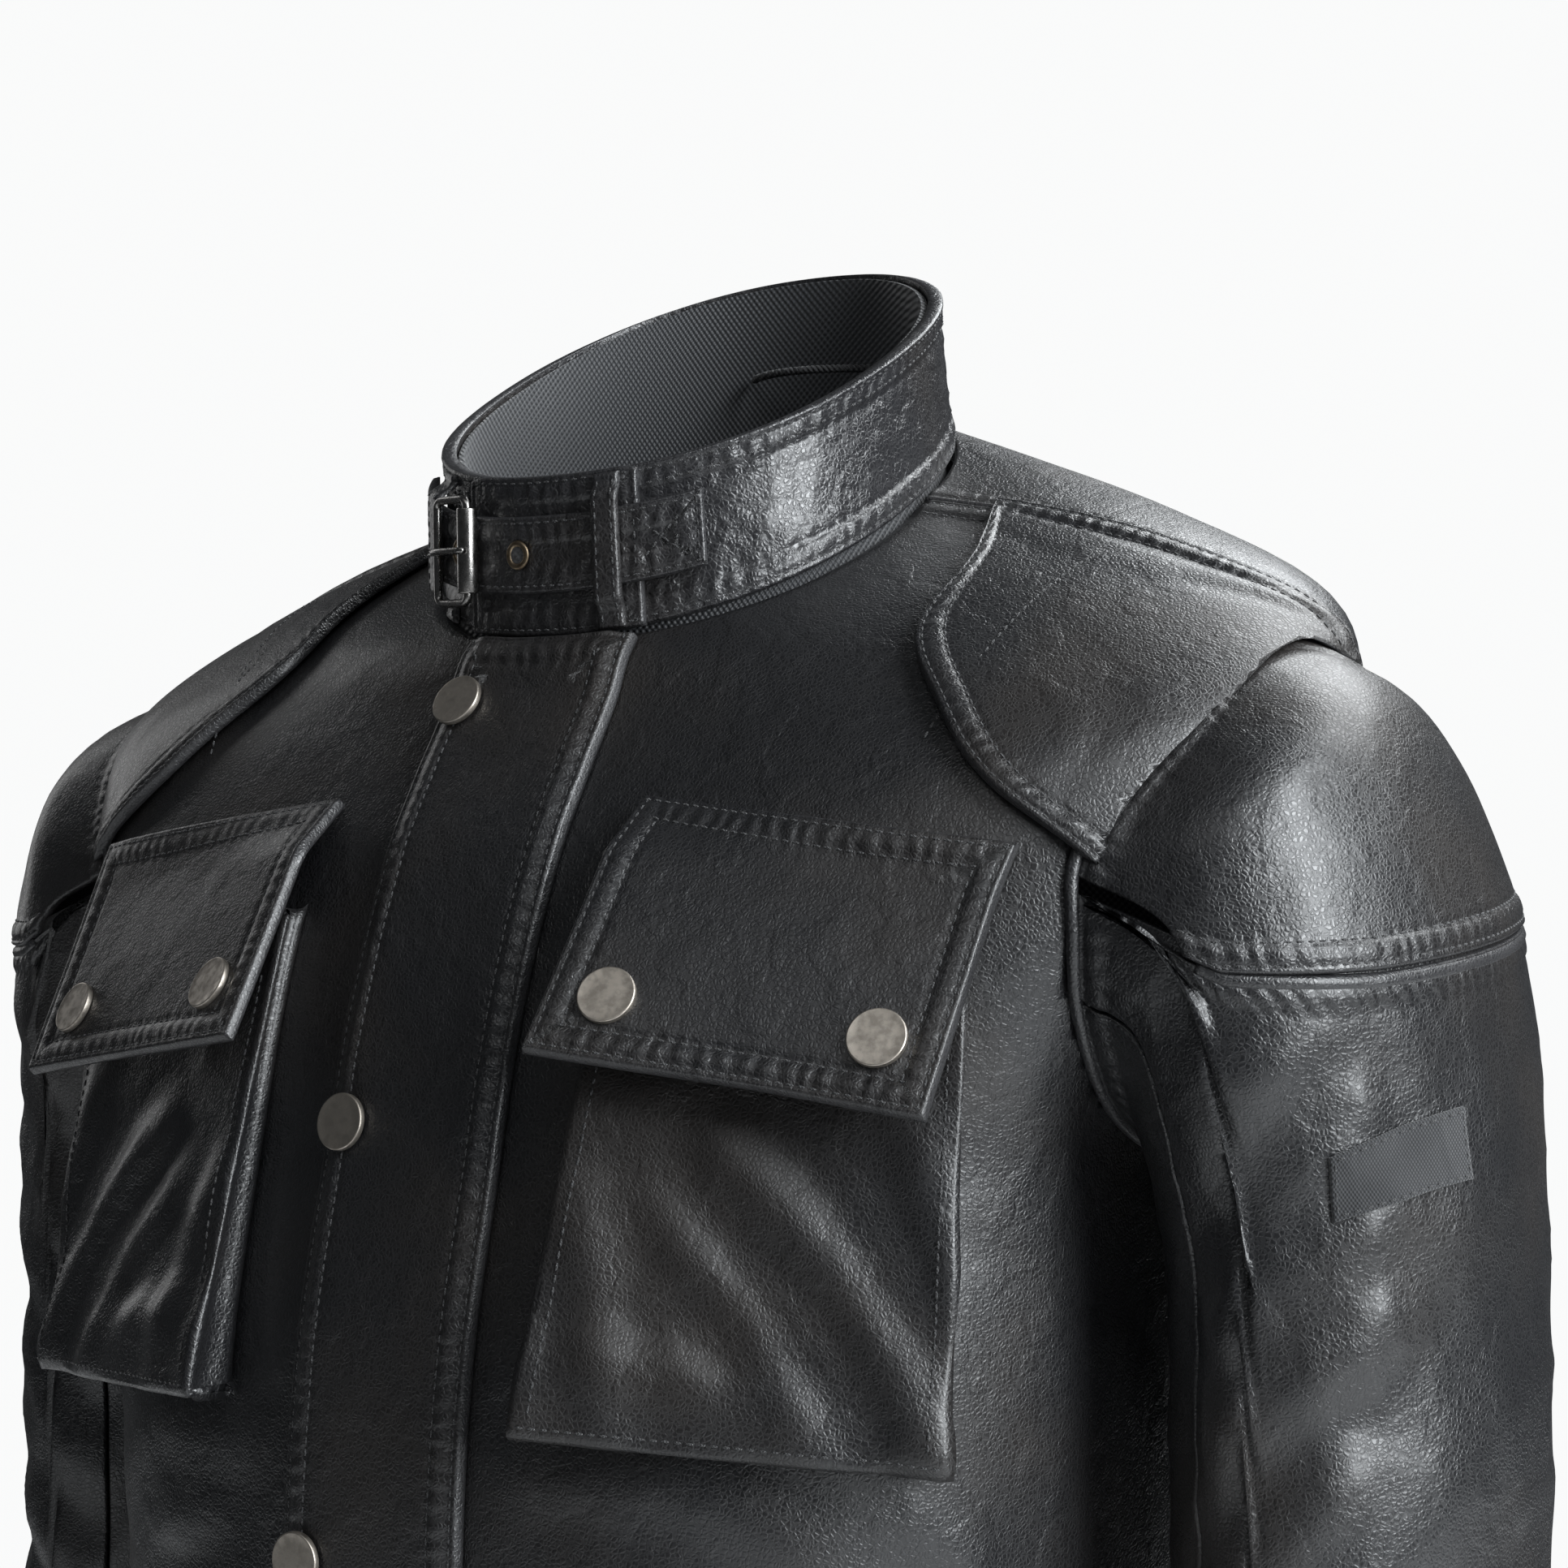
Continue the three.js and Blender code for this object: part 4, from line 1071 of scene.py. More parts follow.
class Finish(Enum):
    """Finishes, each named for the record's material slot that it belongs to."""

    SHELL = LeatherFinish("shell_leather")
    COLLAR = LeatherFinish("collar_leather", base=(0.014, 0.014, 0.0155), roughness=0.27,
                           grain=700.0, crease_depth=0.0005, pucker_depth=0.00024)
    NICKEL = MetalFinish("antique_nickel", (0.5, 0.455, 0.4), (0.3, 0.27, 0.235), 0.42)
    GUNMETAL = MetalFinish("gunmetal", (0.3, 0.29, 0.28), (0.12, 0.115, 0.11), 0.22)
    BRASS = MetalFinish("antique_brass", (0.3, 0.235, 0.16), (0.12, 0.09, 0.06), 0.34)
    LINING = ClothFinish("lining_fabric", (0.012, 0.013, 0.015), (0.035, 0.037, 0.041), 0.0012, 0.55)
    TAPE = ClothFinish("zip_tape", (0.012, 0.012, 0.013), (0.03, 0.03, 0.032), 0.0011)
    BADGE = ClothFinish("badge_fabric", (0.008, 0.0085, 0.0095), (0.024, 0.025, 0.028), 0.0007)
    THREAD = ClothFinish("stitching_thread", (0.007, 0.007, 0.0075), (0.028, 0.028, 0.03), 0.0005, 0.6)


@dataclass
class Workshop:
    """Dresses finished pieces and joins them to the frame."""

    made: dict = field(default_factory=dict)

    def coat(self, obj: bpy.types.Object, finish: Finish) -> None:
        """Gives an object one finish.

        Args:
            obj: the object.
            finish: its finish.
        """
        if finish not in self.made:
            self.made[finish] = finish.value.material()
        if obj.type != "MESH" or len(obj.data.materials):
            obj.data.materials.clear()
        obj.data.materials.append(self.made[finish])

    def place(self, obj: bpy.types.Object, finish: Finish, body: str = "root",
              nodes: Sequence[str] = ()) -> bpy.types.Object:
        """Dresses a piece, rides it on a body and hides the nodes that it stands for.

        Args:
            obj: the piece.
            finish: its finish.
            body: the frame body that it rides on.
            nodes: the frame nodes that it replaces.

        Returns:
            The piece.
        """
        self.dress(obj, finish, nodes)
        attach(obj, body)
        return obj

    def fold(self, obj: bpy.types.Object, finish: Finish, body: str, line: tuple[Array, Array],
             nodes: Sequence[str] = ()) -> bpy.types.Object:
        """Dresses a piece that bends from the root onto a moving body.

        Args:
            obj: the piece.
            finish: its finish.
            body: not used.
            line: where the bend starts and ends, in millimetres.
            nodes: the frame nodes that it replaces.

        Returns:
            The piece.
        """
        self.dress(obj, finish, nodes)
        start, end = (tuple(float(c) * MM for c in p) for p in line)
        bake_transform(obj)
        return obj

    def dress(self, obj: bpy.types.Object, finish: Finish, nodes: Sequence[str]) -> None:
        """Coats a piece and reports it.

        Args:
            obj: the object.
            finish: its finish.
            nodes: nodes that it replaces.
        """
        self.coat(obj, finish)
        if nodes:
            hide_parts(*nodes)
        LOG.info("piece %s: %d vertices", obj.name, len(obj.data.vertices))


WORKSHOP = Workshop()


def node_frame(name: str) -> tuple[Array, Array]:
    """Middle and axes of a frame node, from its vertices.

    Args:
        name: the node.

    Returns:
        Its middle in millimetres, and unit axes as rows from its longest to its shortest way.
    """
    co = corners(frame["nodes"][name]) / MM
    low, high = co.min(0), co.max(0)
    distinct = np.unique(np.round(co, 3), axis=0)
    axes = np.linalg.svd(distinct - distinct.mean(0))[2]
    return (distinct.mean(0) if len(distinct) > 8 else (low + high) / 2), axes


def turned(axis: Array, origin: Array, spin: Array | None = None) -> Matrix:
    """Matrix, in metres, that puts +Z along an axis at an origin given in millimetres.

    Args:
        axis: direction of the new +Z.
        origin: place of the new origin.
        spin: direction that the new +X leans to.

    Returns:
        The matrix.
    """
    z = unit(axis)
    x = np.array([1.0, 0, 0]) if spin is None else spin
    x = unit(x - z * (x @ z))
    y = np.cross(z, x)
    matrix = np.eye(4)
    matrix[:3, :3] = np.stack([x, y, z], 1)
    matrix[:3, 3] = origin * MM
    return Matrix(matrix.tolist())


# ---------------------------------------------------------------- shell
@dataclass
class Shell:
    """Front panels, back, yoke and lining."""

    step: float = 5.0
    folds: tuple[Fold, ...] = (
        Fold((52, 398), (128, 372), 9, 3.2),
        Fold((70, 376), (150, 330), 10, 3.6),
        Fold((40, 352), (110, 318), 9, 2.6),
        Fold((150, 470), (166, 400), 6, 2.4),
        Fold((143, 384), (160, 300), 8, 3.0),
        Fold((60, 300), (140, 262), 12, 2.6),
        Fold((45, 250), (120, 224), 11, 2.0),
        Fold((150, 250), (168, 120), 10, 2.4),
    )
    back_folds: tuple[Fold, ...] = (
        Fold((3.0, 120), (2.2, 150), 12, 3.2),
        Fold((2.6, 128), (1.7, 172), 13, 3.0),
        Fold((3.2, 238), (2.3, 205), 12, 3.0),
        Fold((2.4, 232), (1.6, 190), 13, 2.6),
        Fold((4.4, 128), (5.6, 141), 11, 2.2),
        Fold((4.3, 231), (5.5, 219), 11, 2.2),
        Fold((1.4, 110), (0.6, 132), 12, 2.0),
        Fold((1.3, 250), (0.5, 226), 12, 2.0),
    )
    thread: Thread = field(default_factory=lambda: Thread("shell_stitching"))

    def grid(self, low: float, high: float, start: Callable, end: Callable,
             rows: Array, columns: Array) -> Array:
        """Points of the body between two stations and two angles.

        Args:
            low: first station.
            high: last station.
            start: gives the first angle at a station.
            end: gives the last angle at a station.
            rows: shares up.
            columns: shares across.

        Returns:
            Points in millimetres.
        """
        s = (low + (high - low) * rows)[:, None] + 0 * columns
        first, last = start(s), end(s)
        p = body_point(s, first + (last - first) * columns)
        level = s <= 1e-6
        p[..., 2] = np.where(level, 0.0, p[..., 2])
        return p

    def axis(self, points: Array) -> Array:
        """Middle line of the body beside points."""
        return points * np.array([0, 0, 1.0]) - np.array([0, 0, 40.0])

    def front_sheet(self) -> Sheet:
        """The left front panel before its armhole is cut.

        Returns:
            The sheet.
        """
        rows = stops(700, self.step, True, False)
        columns = stops(260, self.step, False, True)
        points = self.grid(0, NECK_STATION, lambda s: angle_at_x(s, 5),
                           lambda s: SEAM_ANGLE - 0.1 + 0 * s, rows, columns)
        folds = fold_relief(points, self.folds, front_hit)
        calm = 1 / (1 + np.exp((points[..., 2] - 455) / 25))
        clear = 1 / (1 + np.exp((36 - points[..., 0]) / 4))
        relief = (folds + creases(points, 34, 2.0, 5)) * clear * (0.25 + 0.75 * calm)
        under_pocket = self.hidden(points)
        relief = np.where(under_pocket, np.minimum(relief, 0.2), relief)
        return Sheet("front_panel", points, self.axis(points), -LEATHER, 0.0,
                     (Edge.LOW, Edge.LAST), relief)

    def hidden(self, points: Array) -> Array:
        """Whether points lie under a pocket, a flap or a patch.

        Args:
            points: points.

        Returns:
            One flag for each point.
        """
        x, z = points[..., 0], points[..., 2]
        front = points[..., 1] < -40
        chest = (x > 48) & (x < 170) & (z > 398) & (z < 580)
        lower = (x > 44) & (x < 152) & (z > 36) & (z < 208)
        return front & (chest | lower) | (z > 560)

    def fronts(self) -> None:
        """Both front panels."""
        sheet = self.front_sheet()
        for name, side in SIDES.items():
            sheet.name = name + "_front_panel"
            panel = keep_largest(cut_armhole(sheet.build(side), side))
            WORKSHOP.place(panel, Finish.SHELL, nodes=[sheet.name])
            self.thread.sew_edges(sheet, [Edge.LOW], side)
            self.shoulder_rows(sheet, side)

    def shoulder_rows(self, sheet: Sheet, side: float) -> None:
        """Stitches along the side and shoulder seam, clear of the armhole."""
        for inset in STITCH_ROWS:
            line, up = sheet.row(Edge.LAST, inset)
            outside = ARMHOLE.clearance(line) > 4
            low = outside & (line[:, 2] < ARMHOLE.centre[2])
            high = outside & (line[:, 2] > ARMHOLE.centre[2])
            for part in (low, high):
                self.thread.sew(line[part], up[part], side)

    def back(self) -> None:
        """Back panel and yoke."""
        parts = (("back_panel", 0.0, YOKE_STATION, 560, (Edge.LOW, Edge.HIGH, Edge.FIRST, Edge.LAST)),
                 ("back_yoke", YOKE_STATION + 0.02, float(NECK_STATION), 190,
                  (Edge.LOW, Edge.FIRST, Edge.LAST)))
        for name, low, high, tall, sewn in parts:
            rows, columns = stops(tall, self.step), stops(430, self.step)
            points = self.grid(low, high, lambda s: SEAM_ANGLE + 0.1 + 0 * s,
                               lambda s: 360 - SEAM_ANGLE - 0.1 + 0 * s, rows, columns)
            folds = fold_relief(points, self.back_folds, body_point)
            calm = 1 / (1 + np.exp((points[..., 2] - 590) / 18))
            relief = (folds + creases(points, 40, 2.2, 8)) * calm
            sheet = Sheet(name, points, self.axis(points), -LEATHER, 0.0, sewn, relief)
            obj = sheet.build()
            for side in SIDES.values():
                obj = cut_armhole(obj, side)
            WORKSHOP.place(keep_largest(obj), Finish.SHELL, nodes=[name])
            self.thread.sew_edges(sheet, [Edge.LOW], trim=12)

    def lining(self) -> None:
        """Quilted lining that follows the panels."""
        gap = LEATHER + 2.0
        rows, columns = stops(700, 8, False, False), stops(900, 8, False, False)
        edge = lambda s: angle_at_x(s, 16)
        points = self.grid(0, NECK_STATION, edge, lambda s: 360 - edge(s), rows, columns)
        across = cumulative(points, 1)
        pitch = 52.0
        one = np.abs(np.sin(math.pi * (across + points[..., 2]) / pitch))
        two = np.abs(np.sin(math.pi * (across - points[..., 2]) / pitch))
        puff = 1.6 * np.minimum(one, two) ** 0.5
        sheet = Sheet("body_lining", points, self.axis(points), -gap - 1.8 - puff, -gap, welt=0.0)
        obj = sheet.build()
        for side in SIDES.values():
            obj = cut_armhole(obj, side)
        WORKSHOP.place(keep_largest(obj), Finish.LINING, nodes=["body_lining"])

    def build(self) -> None:
        """Builds the shell in order."""
        self.fronts()
        self.back()
        self.lining()
        WORKSHOP.place(self.thread.build(), Finish.THREAD)


@dataclass
class ShoulderPatch:
    """Patch sewn over each shoulder, between the armhole and a curved edge."""

    edge: tuple = ((7.3, 68), (8.4, 61.7), (9.4, 61), (10.5, 65), (11.1, 80), (11.4, 94))
    clear: float = 1.5
    step: float = 2.6
    thread: Thread = field(default_factory=lambda: Thread("shoulder_patch_stitching"))

    def sheet(self) -> Sheet:
        """The left patch before its armhole is cut.

        Returns:
            The sheet.
        """
        table = np.array(self.edge, float)
        rows, columns = stops(190, self.step, False, False), stops(115, self.step, True, True)
        knots = along(table, rows * (len(table) - 1))
        s = knots[:, :1] + 0 * columns
        start = np.minimum(knots[:, 1:], SEAM_ANGLE - 1.0)
        points = body_point(s, start + (SEAM_ANGLE - 0.5 - start) * columns)
        arm = np.maximum(ARMHOLE.clearance(points) - 1.5, 0)
        relief = seam_relief(arm, 0.9) + creases(points, 30, 0.7, 4)
        relief += 1.2 * np.exp(-((ARMHOLE.clearance(points) - 30) / 22) ** 2)
        centre = points * np.array([0, 0, 1.0]) - np.array([0, 0, 40.0])
        return Sheet("shoulder_patch", points, centre, self.clear - relief, self.clear + LEATHER,
                     (Edge.FIRST, Edge.LAST), relief, rim=1.4)

    def build(self) -> None:
        """Both patches with their stitches."""
        sheet = self.sheet()
        for name, side in SIDES.items():
            sheet.name = name + "_shoulder_patch"
            obj = keep_largest(cut_armhole(sheet.build(side), side, 1.2))
            WORKSHOP.place(obj, Finish.SHELL, nodes=[sheet.name])
            for edge in (Edge.FIRST, Edge.LAST):
                for inset in STITCH_ROWS:
                    line, up = sheet.row(edge, inset)
                    out = ARMHOLE.clearance(line) > 3
                    self.thread.sew(line[out], up[out], side)
            self.armhole_rows(side)
        WORKSHOP.place(self.thread.build(), Finish.THREAD)

    def armhole_rows(self, side: float) -> None:
        """Two rows of stitches beside the armhole, on the patch."""
        for inset in STITCH_ROWS:
            degrees = np.arange(-72, -6, 1.0)
            line = armhole_curve(degrees, inset + 1.2, 0)
            ahead = armhole_curve(degrees, inset + 6, 0)
            along_line = np.gradient(line, axis=0)
            up = unit(np.cross(along_line, ahead - line))
            up = np.where((up[:, 1:2] > 0) & (up[:, 2:] < 0), -up, up)
            up = np.where((up @ np.array([0.3, -0.6, 0.7]))[:, None] < 0, -up, up)
            self.thread.sew(line + up * (self.clear + LEATHER + 0.35), up, side)


# ---------------------------------------------------------------- sleeves
@dataclass
class Sleeves:
    """Cap, top sleeve, under sleeve, cuff, cuff tab and badge."""

    step: float = 4.0
    top_folds: tuple[Fold, ...] = (
        Fold((4.9, -100), (3.9, -52), 8, 4.2),
        Fold((5.5, -104), (4.5, -48), 9, 4.6),
        Fold((6.1, -106), (5.2, -50), 9, 4.0),
        Fold((6.7, -104), (6.0, -62), 8, 3.4),
        Fold((7.3, -100), (6.9, -40), 9, 3.8),
        Fold((7.9, -104), (7.6, -30), 9, 3.2),
        Fold((8.5, -96), (8.3, -30), 9, 2.6),
        Fold((9.6, -90), (9.2, -20), 9, 2.2),
        Fold((10.8, -80), (10.5, 0), 8, 2.0),
        Fold((11.5, -60), (11.3, 30), 8, 1.8),
        Fold((5.4, 100), (4.6, 55), 9, 4.0),
        Fold((6.2, 104), (5.6, 52), 9, 3.6),
        Fold((7.2, 104), (6.9, 45), 9, 3.2),
        Fold((5.6, -88), (4.5, -10), 17, 2.4),
        Fold((6.9, -86), (5.7, 4), 17, 2.6),
        Fold((8.0, -84), (7.0, 6), 17, 2.4),
        Fold((9.1, -78), (8.3, 4), 16, 2.2),
        Fold((3.4, -92), (2.9, -66), 12, 2.6),
    )
    thread: Thread = field(default_factory=lambda: Thread("sleeve_stitching"))

    def sheet(self, name: str, start: Callable, end: float | Callable, angles: tuple[float, float],
              wide: float, tall: float, sewn: Sequence[Edge], outer: float = 0.0,
              calm: float = 0.0, thick: float = LEATHER) -> Sheet:
        """Part of the left sleeve.

        Args:
            name: name of the piece.
            start: station of the first row at each angle.
            end: station of the last row at each angle.
            angles: first and last angle.
            wide: rough width.
            tall: rough height.
            sewn: sewn edges.
            outer: height of the outer face over the form.
            calm: share of the folds that is left out.
            thick: thickness of the leather.

        Returns:
            The sheet.
        """
        rows, columns = stops(tall, self.step), stops(wide, self.step)
        degrees = (angles[0] + (angles[1] - angles[0]) * columns)[None, :] + 0 * rows[:, None]
        low, high = start(degrees), end(degrees)
        s = low + (high - low) * rows[:, None]
        points = sleeve_point(s, degrees)
        relief = fold_relief(points, self.top_folds, sleeve_point) + creases(points, 24, 2.4, 3)
        top_fade = 1 / (1 + np.exp(-(cumulative(points, 0) - 14) / 6))
        relief = relief * (1 - calm) * (top_fade if calm < 1 else 1)
        return Sheet(name, points, sleeve_middle(s), outer - thick, outer, sewn, relief)

    def cap(self) -> None:
        """Cap over the shoulder, lapped over the sleeve below."""
        turn = np.arange(-179, 180.0)
        over = turn[cap_height(0 * turn, turn) > 1.0]
        sheet = self.sheet("sleeve_cap", lambda d: 0 * d, lambda d: np.maximum(cap_station(d), 0.05),
                           (over.min(), over.max()), 260, 110, (Edge.HIGH, Edge.LOW), 0.0, 1.0)
        lap = 1.1 * np.exp(-(sheet.sides[Edge.HIGH] / 16) ** 2)
        relief = lap + creases(sheet.points, 30, 0.9, 12)
        sheet = Sheet("sleeve_cap", sheet.points, sheet.centre, -LEATHER - relief, 0.0,
                      (Edge.HIGH, Edge.LOW), relief, welt=1.0, rim=1.4)
        for name, side in SIDES.items():
            sheet.name = name + "_sleeve_cap"
            WORKSHOP.place(sheet.build(side), Finish.SHELL, nodes=[sheet.name])
            self.thread.sew_edges(sheet, [Edge.HIGH], side, trim=4)

    def tubes(self) -> None:
        """Top sleeve and under sleeve."""
        start = lambda d: cap_station(d) + 0.01
        end = lambda d: CUFF_START + 0 * d
        parts = (("top_sleeve", (UNDER_TO - 360 + 0.2, UNDER_FROM - 0.2), 300),
                 ("under_sleeve", (UNDER_FROM + 0.2, UNDER_TO - 0.2), 150))
        for title, angles, wide in parts:
            sheet = self.sheet(title, start, end, angles, wide, 520, (Edge.LOW,))
            for name, side in SIDES.items():
                sheet.name = f"{name}_{title}"
                WORKSHOP.place(sheet.build(side), Finish.SHELL, nodes=[sheet.name])

    def seams(self) -> None:
        """Seam allowance under the cap's foot, and the folded edge round each armhole."""
        under = self.sheet("cap_underlap", lambda d: np.maximum(cap_station(d) - 0.3, 0.02),
                           lambda d: cap_station(d) + 0.2, (-179.5, 179.5), 330, 20, (), -0.35, 1.0, 1.5)
        ring = armhole_curve(np.arange(0, 360, 4.0), 0.6, 1.2)
        turn = np.arange(-179, 180, 3.0)
        turn = turn[cap_height(0 * turn, turn) > 1.0]
        station = cap_station(turn) + 0.06
        foot = sleeve_point(station, turn)
        foot = foot + unit(sleeve_middle(station) - foot) * 1.3
        for name, side in SIDES.items():
            under.name = name + "_cap_underlap"
            WORKSHOP.place(under.build(side), Finish.SHELL)
            # These cords carry no edge attribute, so the shell finish gives them its lighter rubbed colour
            # all over, patchy with the mottle: wear and painted highlight along the folded edges
            edge = wire(name + "_armhole_fold", ring * np.array([side, 1, 1]), 1.9, closed=True)
            WORKSHOP.place(edge, Finish.SHELL)
            fold = wire(name + "_cap_fold", foot * np.array([side, 1, 1]), 2.5)
            WORKSHOP.place(fold, Finish.SHELL)

    def cuffs(self) -> None:
        """Turned cuffs with their tabs."""
        start, end = (lambda d: CUFF_START + 0.02 + 0 * d), (lambda d: SLEEVE_END + 0 * d)
        cuff = self.sheet("cuff", start, end, (-179.8, 179.8), 250, 48, (Edge.LOW, Edge.HIGH),
                          0.5, 0.7, 3.0)
        tab_low, tab_high = (lambda d: 12.35 + 0 * d), (lambda d: 12.75 + 0 * d)
        tab = self.sheet("cuff_tab", tab_low, tab_high, (200, 292), 82, 17, tuple(Edge), 4.1, 1.0, 3.0)
        for name, side in SIDES.items():
            cuff.name, tab.name = name + "_cuff", name + "_cuff_tab"
            WORKSHOP.place(cuff.build(side), Finish.SHELL, nodes=[cuff.name])
            self.thread.sew_edges(cuff, [Edge.LOW, Edge.HIGH], side, rows=STITCH_ROWS, trim=3)
            rows = Thread(name + "_cuff_tab_stitching")
            rows.sew_edges(tab, list(Edge), side, rows=(2.0,))
            root = tab.points[len(tab.points) // 2]
            bend = (root[-1] * np.array([side, 1, 1]), root[-6] * np.array([side, 1, 1]))
            body = name + "_cuff_tab"
            WORKSHOP.fold(tab.build(side), Finish.SHELL, body, bend, [tab.name])
            WORKSHOP.fold(rows.build(), Finish.THREAD, body, bend)

    def badge(self) -> None:
        """Blank woven badge on the left sleeve, with a stitched border."""
        facing, station, half_tall = -42.0, 4.3, 9.0
        above, below = sleeve_point(station - 0.5, facing), sleeve_point(station + 0.5, facing)
        per_station = np.linalg.norm(below - above)
        per_degree = np.linalg.norm(sleeve_point(station, facing + 5) - sleeve_point(station, facing)) / 5
        half = 22.5 / per_degree
        low, high = station - half_tall / per_station, station + half_tall / per_station
        sheet = self.sheet("sleeve_badge", lambda d: low + 0 * d, lambda d: high + 0 * d,
                           (facing - half, facing + half), 45, 18, (), 1.6, 0.0, 1.0)
        lift = fold_relief(sheet.points, self.top_folds, sleeve_point)
        lift = lift + creases(sheet.points, 24, 2.4, 3)
        sheet = Sheet("sleeve_badge", sheet.points, sheet.centre, 0.5, 1.6, (), lift, 0.0, 0.6)
        WORKSHOP.place(sheet.build(), Finish.BADGE, nodes=["sleeve_badge"])
        rows = Thread("sleeve_badge_stitching")
        rows.sew_edges(sheet, list(Edge), rows=(1.3,))
        WORKSHOP.place(rows.build(), Finish.THREAD)

    def build(self) -> None:
        """Builds the sleeves in order."""
        self.cap()
        self.tubes()
        self.seams()
        self.cuffs()
        self.badge()
        WORKSHOP.place(self.thread.build(), Finish.THREAD)


# ---------------------------------------------------------------- collar, strap and buckle
@dataclass
class Collar:
    """Stand collar, its lining, tab, throat strap, keepers, buckle and eyelets."""

    strap_middle: float = 0.52
    strap_width: float = 23.0
    strap_lift: float = 3.4
    strap_leather: float = 2.0
    strap_angles: tuple[float, float] = (-62, 38)
    box_angles: tuple[float, float] = (21, 37.4)
    keeper_angles: tuple[float, float] = (17, -38)
    buckle_size: tuple[float, float] = (20, 33)
    thread: Thread = field(default_factory=lambda: Thread("collar_stitching"))

    def sheet(self, name: str, heights: tuple[float, float], angles: tuple[float, float],
              inner: float | Array, outer: float | Array, sewn: Sequence[Edge], step: float = 2.4,
              relief: Callable | None = None, welt: float = 0.7, rim: float = 1.0) -> Sheet:
        """Part that follows the collar's wall.

        Args:
            name: name of the piece.
            heights: lowest and highest share of the collar's height.
            angles: first and last angle from the front.
            inner: height of its inner face over the wall.
            outer: height of its outer face over the wall.
            sewn: its sewn edges.
            step: spacing of the mesh.
            relief: gives the relief of its points.
            welt: height of the welt along sewn edges.
            rim: radius of the rounded rim.

        Returns:
            The sheet.
        """
        tall = (heights[1] - heights[0]) * NECK.height
        wide = abs(angles[1] - angles[0]) * math.radians(NECK.front)
        rows, columns = stops(tall, step), stops(wide, step)
        v = (heights[0] + (heights[1] - heights[0]) * rows)[:, None] + 0 * columns
        points = NECK.point(v, angles[0] + (angles[1] - angles[0]) * columns + 0 * v)
        centre = points * np.array([0, 0, 1.0])
        if callable(inner):
            inner, outer = inner(v), outer(v)
        height = relief(points, v) if relief else 0.0
        return Sheet(name, points, centre, inner, outer, sewn, height, welt, rim)

    def crumple(self, points: Array, v: Array) -> Array:
        """Creases of the soft collar, and the gathers under its top seam.

        Args:
            points: points.
            v: heights, from 0 to 1.

        Returns:
            Heights in millimetres.
        """
        turn = np.degrees(np.arctan2(points[..., 0], -points[..., 1]))
        beside = 1 / (1 + np.exp((34 - np.abs(turn)) / 4))
        soft = creases(points, 15, 2.3, 21) + creases(points, 7, 0.8, 22)
        gathers = 0.35 * np.sin(np.radians(turn) * NECK.front * 2 * math.pi / 6.3) * bell(v, 0.88, 0.06)
        roll = 1.3 * bell(v, 1.0, 0.07)
        return soft * beside * np.sin(np.pi * np.clip(v, 0.02, 0.98)) + gathers + roll

    def stand(self) -> None:
        """Collar stand and its lining."""
        stand = self.sheet("collar_stand", (0.03, 1), (1.5, 358.5), -3.0, 0.0,
                           (Edge.LOW, Edge.HIGH), relief=self.crumple, rim=1.5)
        stand.inner = np.asarray(stand.inner) - np.asarray(stand.relief) * 0.999
        WORKSHOP.place(stand.build(), Finish.COLLAR, nodes=["collar_stand"])
        self.thread.sew_edges(stand, [Edge.HIGH], rows=(2.2, 6.2), trim=3)
        self.thread.sew_edges(stand, [Edge.LOW], rows=(2.4,), trim=3)
        lining = self.sheet("collar_lining", (-0.16, 0.97), (4, 356), -5.4, -3.4, (), 4.0)
        WORKSHOP.place(lining.build(), Finish.LINING, nodes=["collar_lining"])

    def tab(self) -> None:
        """Overlap tab at the front, with rounded upper corners."""
        tab = self.sheet("collar_tab", (0.02, 1.0), (-25, 24), 0.6, 2.9, tuple(Edge),
                         relief=lambda p, v: 0.3 * creases(p, 12, 1.6, 31), rim=1.2)
        turn = np.degrees(np.arctan2(tab.points[..., 0], -tab.points[..., 1]))
        share = np.clip((np.abs(turn) - 17) / 8, 0, 1)
        corner = 5.0 * (1 - np.sqrt(np.clip(1 - share ** 2, 0, 1)))
        height = (tab.points[..., 2:] - tab.points[:1, :, 2:])
        drop = corner[..., None] * height / height.max()
        tab.points = tab.points - drop * np.array([0, 0, 1.0])
        tab.front = tab.front - drop * np.array([0, 0, 1.0])
        WORKSHOP.place(tab.build(), Finish.COLLAR, nodes=["collar_tab"])
        self.thread.sew_edges(tab, [Edge.HIGH, Edge.LOW], rows=(2.0,), trim=3)

    def strap(self) -> None:
        """Throat strap with its stitched border and its crossed box of stitches."""
        half = self.strap_width / 2 / NECK.height
        heights = (self.strap_middle - half, self.strap_middle + half)
        outer = self.strap_lift + self.strap_leather
        strap = self.sheet("throat_strap", heights, self.strap_angles, self.strap_lift, outer,
                           tuple(Edge), relief=lambda p, v: 0.25 * creases(p, 9, 1.2, 41),
                           welt=0.5, rim=1.0)
        WORKSHOP.place(strap.build(), Finish.COLLAR, nodes=["throat_strap"])
        rows = Thread("throat_strap_stitching")
        rows.sew_edges(strap, list(Edge), rows=(2.0,))
        self.box(rows, heights, outer + 0.35)
        WORKSHOP.place(rows.build(), Finish.THREAD)

